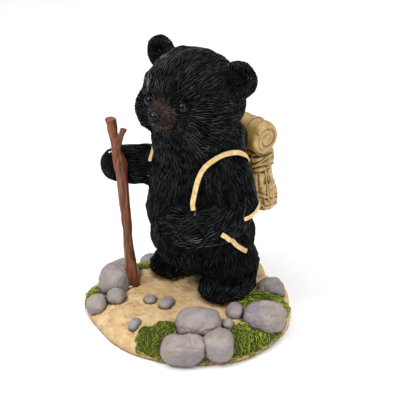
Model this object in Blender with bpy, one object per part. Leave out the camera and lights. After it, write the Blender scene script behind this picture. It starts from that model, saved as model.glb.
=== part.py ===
"""A small cast garden statue: a bear cub that hikes with a stick and a backpack.

Four castings are glued together: the round base with its rocks and grass, the
bear with its straps, the backpack with its bedroll, and the walking stick.

Metres, +Z up. The origin is on the floor under the middle of the base, and the
bear faces -Y. The bear's pose is drawn in figure units, which are one
millimetre long while the bear is as tall as it is drawn, so BEAR_HEIGHT scales
the whole figure.
"""

import math

import bmesh
import bpy
from mathutils import Matrix, Vector, noise
from mathutils.bvhtree import BVHTree

# The base: a round slab of sand that rises from its rim to a flat top.
BASE_DIAMETER = 0.110
BASE_HEIGHT = 0.009
BASE_RIM_HEIGHT = 0.0042
SHOULDER = 0.66
UNDERSIDE_SHARE = 0.992
GRASS_HEIGHT = 0.0022
TUFT_PITCH = 0.0032

# The bear, from its soles to the tip of its higher ear.
BEAR_HEIGHT = 0.1345
STRAP_WIDTH = 0.0026
STRAP_RELIEF = 0.0011
STRAP_SUNK = 0.0014
STRAP_STEPS = 2
EYE_DIAMETER = 0.0052

# The backpack and the bedroll across its top.
PACK_WIDTH = 0.040
PACK_DEPTH = 0.0165
PACK_HEIGHT = 0.0405
BEDROLL_LENGTH = 0.045
BEDROLL_DIAMETER = 0.0172
# How deep the bedroll's underside sinks in the pack's top.
BEDROLL_SUNK = 0.0013

# The walking stick.
STICK_DIAMETER = 0.0058
STICK_SOCKET_DEPTH = 0.002

# Room for the glue between two castings.
FIT_GAP = 0.0003
# The rocks keep a little less clear of the bear, so that the sand under it stays whole.
ROCK_GAP = 0.9 * FIT_GAP

# How finely the castings are cut into triangles.
BEAR_TRIANGLES = 2950
SKIN_VOXEL = 0.0010
BASE_RINGS = 10
BASE_SEGMENTS = 48

# The figure is drawn this many units tall and stands on the base's flat top, a little
# to the bear's right of the base's middle and ahead of it.
DRAWN_HEIGHT = 134.5
FIGURE = BEAR_HEIGHT / DRAWN_HEIGHT
FIGURE_ASIDE = -0.0015
FIGURE_AHEAD = -0.0002
FIGURE_PLACE = Vector((FIGURE_ASIDE, FIGURE_AHEAD, BASE_HEIGHT))


def figure_point(x, y, z):
    """A point drawn in figure units, x and y from the base's middle and z from the soles."""
    return FIGURE_PLACE + FIGURE * Vector((x, y, z))


# The bear's main masses, the last one its left hip: middle and half widths, in figure units.
TORSO = (
    ((-8, 14, 32), (27, 25, 24)),
    ((-8, 13.7, 47), (28.3, 27.3, 24)),
    ((-8, 14.5, 64), (25.5, 24, 24)),
    ((-8, 13.5, 85), (25, 23.5, 18)),
    ((4.5, 20.5, 34), (16.5, 17, 15)),
)
HEAD_MIDDLE = Vector((-8, 10, 109))
HEAD_TURN = math.radians(12)
HEAD_ROLL = math.radians(4)
# On the head: across to the bear's left, back, and up from its middle.
HEAD_MASSES = (
    ((0, 1, 0), (27.3, 23.5, 23.8)),
    ((14, -5.5, -9), (14, 15, 13)),
    ((-14, -5.5, -9), (14, 15, 13)),
    ((0, -8, 6), (19, 15, 15)),
    ((0, -18, -4), (11, 9.5, 9)),
    ((0, -21.5, -4.2), (8.2, 7.8, 7)),
    ((0, -16, -13.5), (9.5, 9, 6)),
)
EAR_OUT = 24.2
EAR_BACK = 4
EAR_UP = 14.5
EAR_RADIUS = 9.6
EAR_THICKNESS = 5.0
EAR_CUP = 3.4
EAR_CUP_REACH = 0.78
EAR_TURN = math.radians(8)
EAR_TILT = math.radians(30)
# The left eye and the right one, which the carver set a little lower: across and up.
EYE_SPOTS = ((10.1, 3.2), (-10.4, 0.9))
EYE_SHOWS = 0.42
NOSE_UP = -1.0
NOSE_HALF = (3.1, 2.2, 2.3)
FACE_BACK = -26

# Limbs: points along them, each with its radius, in figure units.
RIGHT_ARM = (
    ((-20, 12, 70), 12),
    ((-27, 7, 66.2), 11.4),
    ((-34, -1, 65.5), 10.8),
    ((-39, -10, 66.7), 10.4),
    ((-41, -14, 67.4), 9.8),
)
LEFT_ARM = (
    ((6, 13, 80), 13),
    ((14, 15, 70), 12.5),
    ((18, 17, 59), 11.5),
    ((18.5, 12, 51), 10.5),
    ((16, 3, 47.5), 9.8),
    ((10.5, -4.5, 46.5), 8.6),
)
RIGHT_LEG = (
    ((-19, 17, 30), 15),
    ((-23, 15, 18), 13),
    ((-24.5, 16, 9), 11.5),
)
LEFT_LEG = (
    ((4, 18, 29), 15),
    ((9.5, 21.5, 17), 16),
    ((11, 21, 9), 12.5),
)
FOOT_MIDDLES = ((-25, 13.5), (11.5, 18.5))
FOOT_TURN = math.radians(-8)
FOOT_MIDDLE_UP = 5
FOOT_HALF = (11.3, 15, 9.2)
FOOT_SQUARE = 2.6
TOES = 5
TOE_HALF = (3.0, 3.9, 3.3)
# The row of toes: its share of the foot's half width, how far ahead of the foot's middle
# it reaches, as a share of the half length, how much it curves back, and its drop.
TOE_SPREAD = 0.78
TOE_AHEAD = 0.93
TOE_CURVE = 0.25
TOE_DROP = 1.3

# The fur's locks, in figure units: how high they stand, how far apart and how long they
# are, how close to an eye and to the muzzle they come, and how they sway down the body.
FUR_RELIEF = 1.65
FUR_PITCH = 4.2
FUR_LENGTH = 9.0
FUR_CLEAR_OF_EYES = 11
FUR_CLEAR_OF_MUZZLE = 17
FUR_SWAY = 0.15
FUR_SWAY_LENGTH = 21
# The height of the neck, where the head's fur meets the body's, and how far they blend.
NECK_UP = 92
NECK_BLEND = 10

# The strap routes, in figure units, before they are laid on the bear.
LEFT_STRAP = (
    (14, 30.5, 76.5),
    (16.5, 26, 79),
    (17.8, 21.5, 82.2),
    (17.8, 16.5, 85.2),
    (17, 10.3, 86.3),
    (15.6, 5.6, 85.3),
    (12.4, 1, 80.8),
    (9.5, -0.8, 73.6),
    (9, -3, 66.8),
    (9.1, -4.2, 61),
    (10.4, -4.6, 56.8),
)
RIGHT_STRAP = (
    (-31, 29, 80),
    (-33, 23, 83),
    (-33.4, 17, 85.3),
    (-32, 10.6, 86),
    (-30, 5, 83),
    (-27.8, 0.3, 79),
    (-26.2, -2.2, 75),
    (-25, -4.2, 70.5),
)
LEFT_LOWER_STRAP = (
    (15, 35, 52),
    (22, 30, 55),
    (27.2, 23.5, 58.4),
    (28.8, 17, 55.6),
    (28.6, 11, 54.4),
)
RIGHT_LOWER_STRAP = (
    (-30, 35, 52),
    (-36, 27, 55),
    (-37, 18, 52),
    (-36, 9, 50),
)
LEFT_BELT = (
    (18.4, 8.4, 42),
    (19, 13, 38.4),
    (19.9, 18.6, 32.8),
    (21.2, 22.1, 29.2),
)
RIGHT_BELT = (
    (-33, 2, 42),
    (-34.5, 10, 38),
    (-35.5, 18, 33),
    (-35, 24, 29),
)

# The pack's middle, in figure units, and how far its top leans to the front.
PACK_MIDDLE = (-8, 44.3, 57.6)
PACK_LEAN = math.radians(9)
BEDROLL_SIDES = 28
# The pack's body, back pocket, side pockets and flap: middle and half widths as shares
# of the pack's width, depth and height, how square each is and how finely it is cut.
PACK_BLOCKS = (
    ((0, 0, 0), (0.5, 0.5, 0.5), 4.5, 4),
    ((0, 0.43, -0.19), (0.31, 0.27, 0.24), 4, 3),
    ((0.46, 0.03, -0.2), (0.085, 0.34, 0.24), 4, 2),
    ((-0.46, 0.03, -0.2), (0.085, 0.34, 0.24), 4, 2),
    ((0, 0.04, 0.32), (0.52, 0.52, 0.17), 5, 4),
)

# The stick: points along it in figure units, each with a share of its diameter.
STICK_ROUTE = (
    ((-27.2, -16.7, 0.0), 1.10),
    ((-28.6, -16.9, 13.6), 1.07),
    ((-29.7, -17.2, 22.1), 0.97),
    ((-30.8, -17.0, 35.7), 0.88),
    ((-32.2, -16.9, 50.2), 1.03),
    ((-33.2, -16.8, 61.5), 1.07),
    ((-34.2, -17.0, 69.8), 1.30),
    ((-35.0, -17.3, 74.8), 1.11),
    ((-36.0, -18.0, 80.2), 0.76),
    ((-37.3, -18.5, 88.3), 0.96),
    ((-38.4, -19.0, 94.9), 1.04),
)
# The cut side shoot: the route's point where it leaves, its step in figure units, and
# places along that step, each with a share of the stick's diameter.
SHOOT_FROM = 8
SHOOT_STEP = (3.6, 3.6, 9.5)
SHOOT_WIDTHS = ((-0.15, 0.55), (0.35, 0.62), (0.75, 0.56), (1.0, 0.44))
STICK_SIDES = 8
# The lumps around the stick: their share of its radius, their number and their twist.
LUMP_SHARE = 0.07
LUMPS = 3
LUMP_TWIST = 0.9

# Rocks on the base: middle, half widths and turn, as shares of the base's radius.
ROCKS = (
    ((-0.680, -0.375), (0.245, 0.165, 0.160), -62),
    ((-0.505, -0.757), (0.102, 0.119, 0.082), 50),
    ((-0.439, -0.578), (0.094, 0.099, 0.075), 50),
    ((0.452, -0.272), (0.211, 0.189, 0.160), 50),
    ((0.580, -0.565), (0.206, 0.140, 0.140), 50),
    ((0.735, -0.290), (0.143, 0.164, 0.124), 50),
    ((0.492, 0.138), (0.078, 0.102, 0.076), 50),
    ((0.597, -0.049), (0.058, 0.062, 0.050), 50),
    ((0.733, 0.292), (0.199, 0.154, 0.140), 50),
    ((0.414, 0.683), (0.135, 0.118, 0.101), 50),
    ((-0.800, 0.120), (0.110, 0.080, 0.060), 70),
    ((-0.330, 0.690), (0.150, 0.120, 0.110), 15),
    ((0.080, 0.790), (0.120, 0.095, 0.090), -20),
    ((-0.188, -0.352), (0.057, 0.062, 0.042), 50),
    ((-0.038, -0.267), (0.060, 0.092, 0.048), 25),
    ((0.028, -0.696), (0.050, 0.081, 0.040), 35),
)
# Up to this share a rock is a pebble, which is cut more coarsely.
PEBBLE_SHARE = 0.07
ROCK_SQUARE = 2.5
ROCK_UNEVEN = 0.12
ROCK_LIFT = 0.12
# Patches of grass: middles and radii, as shares of the base's radius.
GRASS = (
    ((-0.700, -0.620), 0.100),
    ((-0.660, -0.720), 0.090),
    ((-0.720, -0.030), 0.085),
    ((0.270, -0.520), 0.110),
    ((0.260, -0.690), 0.130),
    ((0.380, -0.820), 0.130),
    ((0.780, -0.010), 0.130),
    ((0.900, 0.080), 0.130),
    ((0.930, -0.120), 0.140),
    ((0.890, -0.310), 0.130),
    ((0.840, -0.450), 0.110),
    ((0.930, 0.270), 0.110),
    ((0.450, 0.340), 0.110),
    ((0.400, 0.500), 0.110),
    ((0.490, 0.590), 0.110),
    ((0.620, 0.560), 0.120),
    ((-0.120, 0.730), 0.140),
    ((-0.600, 0.470), 0.140),
)
# The rim's radius at evenly spaced angles from +X, as shares of the base's radius.
RIM = (0.99, 0.99, 1.0, 0.965, 0.97, 0.91, 0.865, 0.87, 0.88, 0.88, 0.88, 0.88,
       0.885, 0.95, 1.0, 1.05, 1.02, 0.965, 0.955, 0.945, 0.93, 0.955, 0.945, 0.98)

# Colours and finishes.
LOOKS = {
    "sand": ((0.80, 0.62, 0.36), 0.8),
    "fur": ((0.012, 0.013, 0.015), 0.42),
    "canvas": ((0.55, 0.36, 0.14), 0.5),
    "stick_wood": ((0.27, 0.075, 0.03), 0.55),
}


def material(name):
    """A Principled material with the casting's paint colour and roughness."""
    made = bpy.data.materials.new(name)
    made.use_nodes = True
    paint = made.node_tree.nodes["Principled BSDF"]
    colour, roughness = LOOKS[name]
    paint.inputs["Base Color"].default_value = (*colour, 1.0)
    paint.inputs["Roughness"].default_value = roughness
    paint.inputs["Metallic"].default_value = 0.0
    return made


def object_from(bm, name, slot=None, smooth=True):
    """A new object that holds the shape, with its material, in the scene."""
    mesh = bpy.data.meshes.new(name)
    bmesh.ops.recalc_face_normals(bm, faces=bm.faces)
    bm.to_mesh(mesh)
    bm.free()
    thing = bpy.data.objects.new(name, mesh)
    bpy.context.scene.collection.objects.link(thing)
    if slot:
        mesh.materials.append(material(slot))
    if smooth:
        mesh.shade_smooth()
    return thing


def settled(thing):
    """Applies an object's modifiers to its mesh."""
    graph = bpy.context.evaluated_depsgraph_get()
    mesh = bpy.data.meshes.new_from_object(thing.evaluated_get(graph))
    thing.modifiers.clear()
    thing.data = mesh
    return thing


def ellipsoid(bm, middle, half, turn=Matrix.Identity(3), fineness=3):
    """Adds a ball stretched to three half widths."""
    place = Matrix.Translation(middle) @ turn.to_4x4() @ Matrix.Diagonal((*half, 1.0))
    return bmesh.ops.create_icosphere(bm, subdivisions=fineness, radius=1.0, matrix=place)["verts"]


def limb(bm, stations, steps=7):
    """Adds balls close together along a limb, with radii that run from station to station."""
    for (start, r0), (end, r1) in zip(stations, stations[1:]):
        for step in range(steps + 1):
            t = step / steps
            middle = figure_point(*Vector(start).lerp(Vector(end), t))
            radius = FIGURE * (r0 + (r1 - r0) * t)
            ellipsoid(bm, middle, (radius, radius, radius), fineness=2)


def head_frame():
    """The head's own axes as columns: across, back and up."""
    return Matrix.Rotation(HEAD_TURN, 3, "Z") @ Matrix.Rotation(HEAD_ROLL, 3, "Y")


def head_point(across, back, up):
    """A point on the head, from its middle."""
    return figure_point(*(HEAD_MIDDLE + head_frame() @ Vector((across, back, up))))


def ear(bm, side):
    """Adds a round ear, cupped at the front, on the bear's left (1) or right (-1)."""
    radius = FIGURE * EAR_RADIUS
    points = bmesh.ops.create_icosphere(bm, subdivisions=4, radius=1.0)["verts"]
    outward = Matrix.Rotation(side * EAR_TURN, 3, "Z")
    tilt = Matrix.Rotation(side * EAR_TILT, 3, "Y")
    place = Matrix.Translation(head_point(side * EAR_OUT, EAR_BACK, EAR_UP))
    turned = place @ (head_frame() @ outward @ tilt).to_4x4()
    for point in points:
        across, depth, up = point.co
        reach = min(1.0, math.hypot(across, up))
        bulge = FIGURE * EAR_THICKNESS * depth
        cup = FIGURE * EAR_CUP * max(0.0, 1.0 - (reach / EAR_CUP_REACH) ** 2) if depth < 0 else 0.0
        point.co = turned @ Vector((across * radius, bulge + cup, up * radius))


def foot(bm, middle):
    """Adds a foot with its row of toes in front."""
    turn = Matrix.Rotation(FOOT_TURN, 3, "Z")
    half = FIGURE * Vector(FOOT_HALF)
    centre = figure_point(middle[0], middle[1], FOOT_MIDDLE_UP)
    rounded_block(bm, centre, half, turn, FOOT_SQUARE)
    for number in range(TOES):
        share = number / (TOES - 1) * 2 - 1
        ahead = TOE_AHEAD - TOE_CURVE * share * share
        along = Vector((share * FOOT_HALF[0] * TOE_SPREAD, -FOOT_HALF[1] * ahead, -TOE_DROP))
        ellipsoid(bm, centre + turn @ (FIGURE * along), FIGURE * Vector(TOE_HALF), turn, fineness=2)


def remeshed(thing, voxel, passes):
    """Joins overlapping balls into one skin and smooths it."""
    skin = thing.modifiers.new("skin", "REMESH")
    skin.mode = "VOXEL"
    skin.voxel_size = voxel
    soft = thing.modifiers.new("soft", "SMOOTH")
    soft.factor = 0.5
    soft.iterations = passes
    return settled(thing)


def fur_flow(point):
    """The way the fur lies at a point: away from the nose on the head, down elsewhere."""
    nose = head_point(0, FACE_BACK, NOSE_UP)
    away = (point - nose).normalized()
    sway = FUR_SWAY * math.sin(math.tau * point.x / (FIGURE * FUR_SWAY_LENGTH))
    down = Vector((sway, 0.1, -1.0)).normalized()
    neck = FIGURE_PLACE.z + FIGURE * NECK_UP
    share = min(1.0, max(0.0, (point.z - neck) / (FIGURE * NECK_BLEND) + 0.5))
    return down.lerp(away, share).normalized()


def raise_fur(thing):
    """Raises long locks in the skin, which run along the fur and leave the face flatter."""
    mesh = thing.data
    eyes = [head_point(across, FACE_BACK + 4, up) for across, up in EYE_SPOTS]
    muzzle = head_point(0, FACE_BACK, NOSE_UP - 3)
    reach = FIGURE * FUR_LENGTH
    normals = [vertex.normal.copy() for vertex in mesh.vertices]
    for vertex, normal in zip(mesh.vertices, normals):
        flow = fur_flow(vertex.co)
        flow = (flow - normal * flow.dot(normal)).normalized()
        taps = [vertex.co + flow * reach * (step / 4 - 0.5) for step in range(5)]
        lock = sum(noise.noise(tap / (FIGURE * FUR_PITCH)) for tap in taps) / len(taps)
        clear = min((vertex.co - eye).length for eye in eyes) / (FIGURE * FUR_CLEAR_OF_EYES)
        clear = min(clear, (vertex.co - muzzle).length / (FIGURE * FUR_CLEAR_OF_MUZZLE), 1.0)
        vertex.co += normal * FIGURE * FUR_RELIEF * lock * clear * clear


def to_height(thing, height):
    """Stretches a figure a little so that it is exactly so tall above the soles' plane."""
    top = max(vertex.co.z for vertex in thing.data.vertices)
    factor = height / (top - FIGURE_PLACE.z)
    for vertex in thing.data.vertices:
        vertex.co.z = FIGURE_PLACE.z + (vertex.co.z - FIGURE_PLACE.z) * factor


def boolean(thing, other, operation):
    """Joins another shape to a thing or cuts it away, and drops the other shape."""
    cut = thing.modifiers.new(operation.lower(), "BOOLEAN")
    cut.operation = operation
    cut.solver = "EXACT"
    cut.object = other
    settled(thing)
    bpy.data.objects.remove(other, do_unlink=True)


def drop_crumbs(thing):
    """Removes the crumbs that a cut may leave beside the casting itself."""
    bm = bmesh.new()
    bm.from_mesh(thing.data)
    unseen = set(bm.verts)
    shells = []
    while unseen:
        shell = {unseen.pop()}
        edge_of_shell = list(shell)
        while edge_of_shell:
            point = edge_of_shell.pop()
            for edge in point.link_edges:
                other = edge.other_vert(point)
                if other not in shell:
                    shell.add(other)
                    edge_of_shell.append(other)
        unseen -= shell
        shells.append(shell)
    largest = max(shells, key=len)
    crumbs = [point for shell in shells if shell is not largest for point in shell]
    bmesh.ops.delete(bm, geom=crumbs, context="VERTS")
    bm.to_mesh(thing.data)
    bm.free()


def smooth_path(points, steps):
    """Points on a curve that passes through the given points."""
    ends = [2 * points[0] - points[1], *points, 2 * points[-1] - points[-2]]
    path = []
    for a, b, c, d in zip(ends, ends[1:], ends[2:], ends[3:]):
        for step in range(steps):
            t = step / steps
            path.append(0.5 * (2 * b + (c - a) * t + (2 * a - 5 * b + 4 * c - d) * t * t
                               + (3 * b - a - 3 * c + d) * t ** 3))
    path.append(points[-1].copy())
    return path


def bridge(bm, rings):
    """Joins rings of points into a closed tube with capped ends."""
    made = [[bm.verts.new(point) for point in ring] for ring in rings]
    count = len(made[0])
    for low, high in zip(made, made[1:]):
        for i in range(count):
            j = (i + 1) % count
            bm.faces.new((low[i], low[j], high[j], high[i]))
    bm.faces.new(made[0][::-1])
    bm.faces.new(made[-1])


def strap(skin, route, width):
    """A flat strap laid on the skin along a route, sunk in so that it joins the casting."""
    guide = smooth_path([figure_point(*point) for point in route], STRAP_STEPS)
    laid = [skin.find_nearest(point)[:2] for point in guide]
    spots = [spot for spot, _ in laid]
    normals = []
    for i in range(len(laid)):
        near = laid[max(0, i - 1):i + 2]
        normals.append(sum((normal for _, normal in near), Vector()).normalized())
    rings = []
    for i, (spot, normal) in enumerate(zip(spots, normals)):
        along = (spots[min(i + 1, len(spots) - 1)] - spots[max(i - 1, 0)]).normalized()
        side = along.cross(normal).normalized()
        outward = side.cross(along).normalized()
        half = width / 2
        rings.append([
            spot + side * half + outward * -STRAP_SUNK,
            spot + side * half + outward * STRAP_RELIEF * 0.7,
            spot + side * half * 0.5 + outward * STRAP_RELIEF,
            spot - side * half * 0.5 + outward * STRAP_RELIEF,
            spot - side * half + outward * STRAP_RELIEF * 0.7,
            spot - side * half + outward * -STRAP_SUNK,
        ])
    bm = bmesh.new()
    bridge(bm, rings)
    return object_from(bm, "strap")


def on_face(skin, across, up, depth):
    """The point a depth behind the face's skin, straight back from a place in front of it."""
    back = head_frame() @ Vector((0, 1, 0))
    ahead = head_point(across, -HEAD_MIDDLE.z, up)
    spot = skin.ray_cast(ahead, back)[0]
    return spot + back * depth


def bear():
    """The bear: its masses joined in one skin, with fur, straps, eyes and a nose."""
    bm = bmesh.new()
    for middle, half in TORSO:
        ellipsoid(bm, figure_point(*middle), FIGURE * Vector(half))
    for middle, half in HEAD_MASSES:
        ellipsoid(bm, head_point(*middle), FIGURE * Vector(half), head_frame())
    for stations in (RIGHT_ARM, LEFT_ARM, RIGHT_LEG, LEFT_LEG):
        limb(bm, stations)
    body = remeshed(object_from(bm, "masses"), SKIN_VOXEL, 14)

    bm = bmesh.new()
    bm.from_mesh(body.data)
    bpy.data.objects.remove(body, do_unlink=True)
    for side in (1, -1):
        ear(bm, side)
    for middle in FOOT_MIDDLES:
        foot(bm, middle)
    skin = remeshed(object_from(bm, "bear", "fur"), SKIN_VOXEL, 4)
    raise_fur(skin)
    to_height(skin, BEAR_HEIGHT)

    slim = skin.modifiers.new("slim", "DECIMATE")
    slim.ratio = BEAR_TRIANGLES / sum(len(face.vertices) - 2 for face in skin.data.polygons)
    settled(skin)

    bm = bmesh.new()
    bm.from_mesh(skin.data)
    surface = BVHTree.FromBMesh(bm)
    bm.free()
    straps = [strap(surface, route, STRAP_WIDTH)
              for route in (LEFT_STRAP, RIGHT_STRAP, LEFT_BELT, RIGHT_BELT)]
    straps += [strap(surface, route, STRAP_WIDTH * 0.8)
               for route in (LEFT_LOWER_STRAP, RIGHT_LOWER_STRAP)]
    for piece in straps:
        boolean(skin, piece, "UNION")

    radius = EYE_DIAMETER / 2
    for across, up in EYE_SPOTS:
        bm = bmesh.new()
        spot = on_face(surface, across, up, radius * (1 - 2 * EYE_SHOWS))
        ellipsoid(bm, spot, (radius, radius, radius), fineness=2)
        boolean(skin, object_from(bm, "eye"), "UNION")
    bm = bmesh.new()
    ellipsoid(bm, on_face(surface, 0, NOSE_UP, 0), FIGURE * Vector(NOSE_HALF), head_frame(), fineness=2)
    boolean(skin, object_from(bm, "nose"), "UNION")
    return skin


def flatten_soles(skin):
    """Cuts the soles off level, a gap above the base."""
    bm = bmesh.new()
    size = BEAR_HEIGHT
    level = BASE_HEIGHT + FIT_GAP
    bmesh.ops.create_cube(bm, size=size, matrix=Matrix.Translation((0, 0, level - size / 2)))
    boolean(skin, object_from(bm, "floor_cutter"), "DIFFERENCE")


def rounded_block(bm, middle, half, turn, power=4.0, cuts=4):
    """Adds a block with full, rounded sides; a higher power makes it squarer."""
    block = bmesh.new()
    bmesh.ops.create_cube(block, size=2.0)
    bmesh.ops.subdivide_edges(block, edges=block.edges[:], cuts=cuts, use_grid_fill=True)
    bmesh.ops.triangulate(block, faces=block.faces[:])
    for point in block.verts:
        length = sum(abs(value) ** power for value in point.co) ** (1 / power)
        share = point.co / length
        point.co = middle + turn @ Vector((share.x * half[0], share.y * half[1], share.z * half[2]))
    mesh = bpy.data.meshes.new("block")
    block.to_mesh(mesh)
    block.free()
    bm.from_mesh(mesh)
    bpy.data.meshes.remove(mesh)


def pack_frame():
    """The pack's own axes: across, back and up along its leaning height."""
    return Matrix.Rotation(PACK_LEAN, 3, "X")


def bedroll(grow):
    """The rolled mat that lies across the pack's top, with softened ends."""
    bm = bmesh.new()
    radius = BEDROLL_DIAMETER / 2 + grow
    above = Vector((0, 0, (PACK_HEIGHT + BEDROLL_DIAMETER) / 2 - BEDROLL_SUNK))
    middle = figure_point(*PACK_MIDDLE) + pack_frame() @ above
    place = Matrix.Translation(middle) @ Matrix.Rotation(math.pi / 2, 4, "Y")
    bmesh.ops.create_cone(bm, cap_ends=True, segments=BEDROLL_SIDES, radius1=radius, radius2=radius,
                          depth=BEDROLL_LENGTH + 2 * grow, matrix=place)
    caps = [face for face in bm.faces if len(face.verts) == BEDROLL_SIDES]
    edges = [edge for face in caps for edge in face.edges]
    bmesh.ops.bevel(bm, geom=edges, offset=BEDROLL_DIAMETER * 0.12, segments=2, affect="EDGES", profile=0.5)
    return object_from(bm, "bedroll")


def pack(grow=0.0, name="backpack", slot="canvas"):
    """The backpack with its bedroll, flap and pockets, cast as one, grown by a clearance."""
    turn = pack_frame()
    middle = figure_point(*PACK_MIDDLE)
    size = (PACK_WIDTH, PACK_DEPTH, PACK_HEIGHT)
    body = None
    for spot, half, power, cuts in PACK_BLOCKS:
        bm = bmesh.new()
        place = middle + turn @ Vector([share * whole for share, whole in zip(spot, size)])
        widths = Vector([share * whole + grow for share, whole in zip(half, size)])
        rounded_block(bm, place, widths, turn, power, cuts)
        if body:
            boolean(body, object_from(bm, "block"), "UNION")
        else:
            body = object_from(bm, name, slot)
    boolean(body, bedroll(grow), "UNION")
    return body


def stick_rings(grow):
    """Rings of points around the stick's route, with its knots, grown by a clearance."""
    bottom = BASE_HEIGHT - STICK_SOCKET_DEPTH - grow
    points = [figure_point(*point) for point, _ in STICK_ROUTE]
    points[0].z = bottom
    points[-1].z += grow
    shares = [Vector((share, 0, 0)) for _, share in STICK_ROUTE]
    path = smooth_path(points, 2)
    widths = [share.x for share in smooth_path(shares, 2)]
    rings = []
    for number, (point, width) in enumerate(zip(path, widths)):
        ring = []
        for i in range(STICK_SIDES):
            angle = math.tau * i / STICK_SIDES
            lump = 1 + LUMP_SHARE * math.sin(LUMPS * angle + number * LUMP_TWIST)
            radius = STICK_DIAMETER / 2 * width * lump + grow
            ring.append(point + radius * Vector((math.cos(angle), math.sin(angle), 0)))
        rings.append(ring)
    return rings


def stick(grow=0.0, name="walking_stick", slot="stick_wood"):
    """The walking stick: a crooked branch with a cut side shoot near its top."""
    bm = bmesh.new()
    bridge(bm, stick_rings(grow))
    branch = object_from(bm, name, slot)
    start = figure_point(*STICK_ROUTE[SHOOT_FROM][0])
    end = start + FIGURE * Vector(SHOOT_STEP)
    turns = [math.tau * i / STICK_SIDES for i in range(STICK_SIDES)]
    rings = []
    for share, width in SHOOT_WIDTHS:
        middle = start.lerp(end, share)
        radius = STICK_DIAMETER / 2 * width + grow
        rings.append([middle + radius * Vector((math.cos(a), math.sin(a), 0)) for a in turns])
    bm = bmesh.new()
    bridge(bm, rings)
    boolean(branch, object_from(bm, "shoot"), "UNION")
    return branch


def rim_radius(angle):
    """The base's radius at an angle from +X."""
    count = len(RIM)
    place = angle / math.tau * count
    i = math.floor(place)
    t = place - i
    a, b, c, d = (RIM[(i + k) % count] for k in (-1, 0, 1, 2))
    share = 0.5 * (2 * b + (c - a) * t + (2 * a - 5 * b + 4 * c - d) * t * t
                   + (3 * b - a - 3 * c + d) * t ** 3)
    return BASE_DIAMETER / 2 * share


def rim_middle():
    """Where the rim's own middle lies, so that the base's box is centred on the origin."""
    turns = [math.tau * i / BASE_SEGMENTS for i in range(BASE_SEGMENTS)]
    xs = [rim_radius(turn) * math.cos(turn) for turn in turns]
    ys = [rim_radius(turn) * math.sin(turn) for turn in turns]
    return -(min(xs) + max(xs)) / 2, -(min(ys) + max(ys)) / 2


def sand_height(share):
    """The sand's height at a share of the way from the middle to the rim."""
    slope = max(0.0, (share - SHOULDER) / (1 - SHOULDER))
    return BASE_HEIGHT - (BASE_HEIGHT - BASE_RIM_HEIGHT) * slope * slope


def grass_at(x, y):
    """How deep inside a patch of grass a point is, from 0 outside to 1."""
    radius = BASE_DIAMETER / 2
    deepest = 0.0
    for (middle_x, middle_y), size in GRASS:
        away = math.hypot(x / radius - middle_x, y / radius - middle_y) / size
        deepest = max(deepest, min(1.0, (1.15 - away) * 4))
    return deepest


def base():
    """The base: a low mound with a flat top, its rocks and its grass, cast as one."""
    bm = bmesh.new()
    middle_x, middle_y = rim_middle()
    rings = []
    for ring in range(1, BASE_RINGS + 1):
        share = math.sqrt(ring / BASE_RINGS)
        row = []
        for i in range(BASE_SEGMENTS):
            angle = math.tau * i / BASE_SEGMENTS
            reach = rim_radius(angle) * share
            x, y = middle_x + reach * math.cos(angle), middle_y + reach * math.sin(angle)
            z = sand_height(share)
            tuft = 0.75 + 0.6 * noise.noise(Vector((x, y, 0)) / TUFT_PITCH)
            z += GRASS_HEIGHT * grass_at(x, y) * tuft * min(1.0, (1 - share) * 9 + 0.25)
            row.append(bm.verts.new((x, y, z)))
        rings.append(row)
    centre = bm.verts.new((middle_x, middle_y, BASE_HEIGHT))
    count = BASE_SEGMENTS
    for i in range(count):
        bm.faces.new((centre, rings[0][i], rings[0][(i + 1) % count]))
    for inner, outer in zip(rings, rings[1:]):
        for i in range(count):
            j = (i + 1) % count
            bm.faces.new((inner[i], outer[i], outer[j], inner[j]))
    foot_ring = [bm.verts.new((point.co.x * UNDERSIDE_SHARE, point.co.y * UNDERSIDE_SHARE, 0))
                 for point in rings[-1]]
    for i in range(count):
        j = (i + 1) % count
        bm.faces.new((rings[-1][i], foot_ring[i], foot_ring[j], rings[-1][j]))
    bm.faces.new(foot_ring[::-1])
    bmesh.ops.triangulate(bm, faces=bm.faces[:])
    slab = object_from(bm, "base", "sand")

    radius = BASE_DIAMETER / 2
    for number, (middle, half, degrees) in enumerate(ROCKS):
        bm = bmesh.new()
        turn = Matrix.Rotation(math.radians(degrees), 3, "Z")
        x, y = Vector(middle) * radius
        along, sideways = x - middle_x, y - middle_y
        share = math.hypot(along, sideways) / rim_radius(math.atan2(sideways, along) % math.tau)
        ground = sand_height(share)
        sizes = radius * Vector(half)
        place = Vector((x, y, ground + sizes.z * ROCK_LIFT))
        cuts = 2 if half[0] > PEBBLE_SHARE else 1
        rounded_block(bm, place, sizes, turn, ROCK_SQUARE, cuts)
        for point in bm.verts:
            way = (point.co - place).normalized()
            bump = noise.noise(way * 1.3 + Vector((number * 7.3, 0, 0)))
            point.co += way * sizes.x * ROCK_UNEVEN * bump
        boolean(slab, object_from(bm, "rock"), "UNION")
    flatten_underside(slab)
    return slab


def flatten_underside(slab):
    """Cuts the underside level, so that the base rests flat."""
    bm = bmesh.new()
    size = BASE_DIAMETER * 2
    bmesh.ops.create_cube(bm, size=size, matrix=Matrix.Translation((0, 0, -size / 2)))
    boolean(slab, object_from(bm, "table_cutter"), "DIFFERENCE")


def keep_clear(slab, cub):
    """Cuts away what of the base's rocks would touch the bear."""
    bm = bmesh.new()
    bm.from_mesh(cub.data)
    bm.normal_update()
    for point in bm.verts:
        point.co += point.normal * ROCK_GAP
    boolean(slab, object_from(bm, "bear_cutter"), "DIFFERENCE")


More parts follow.
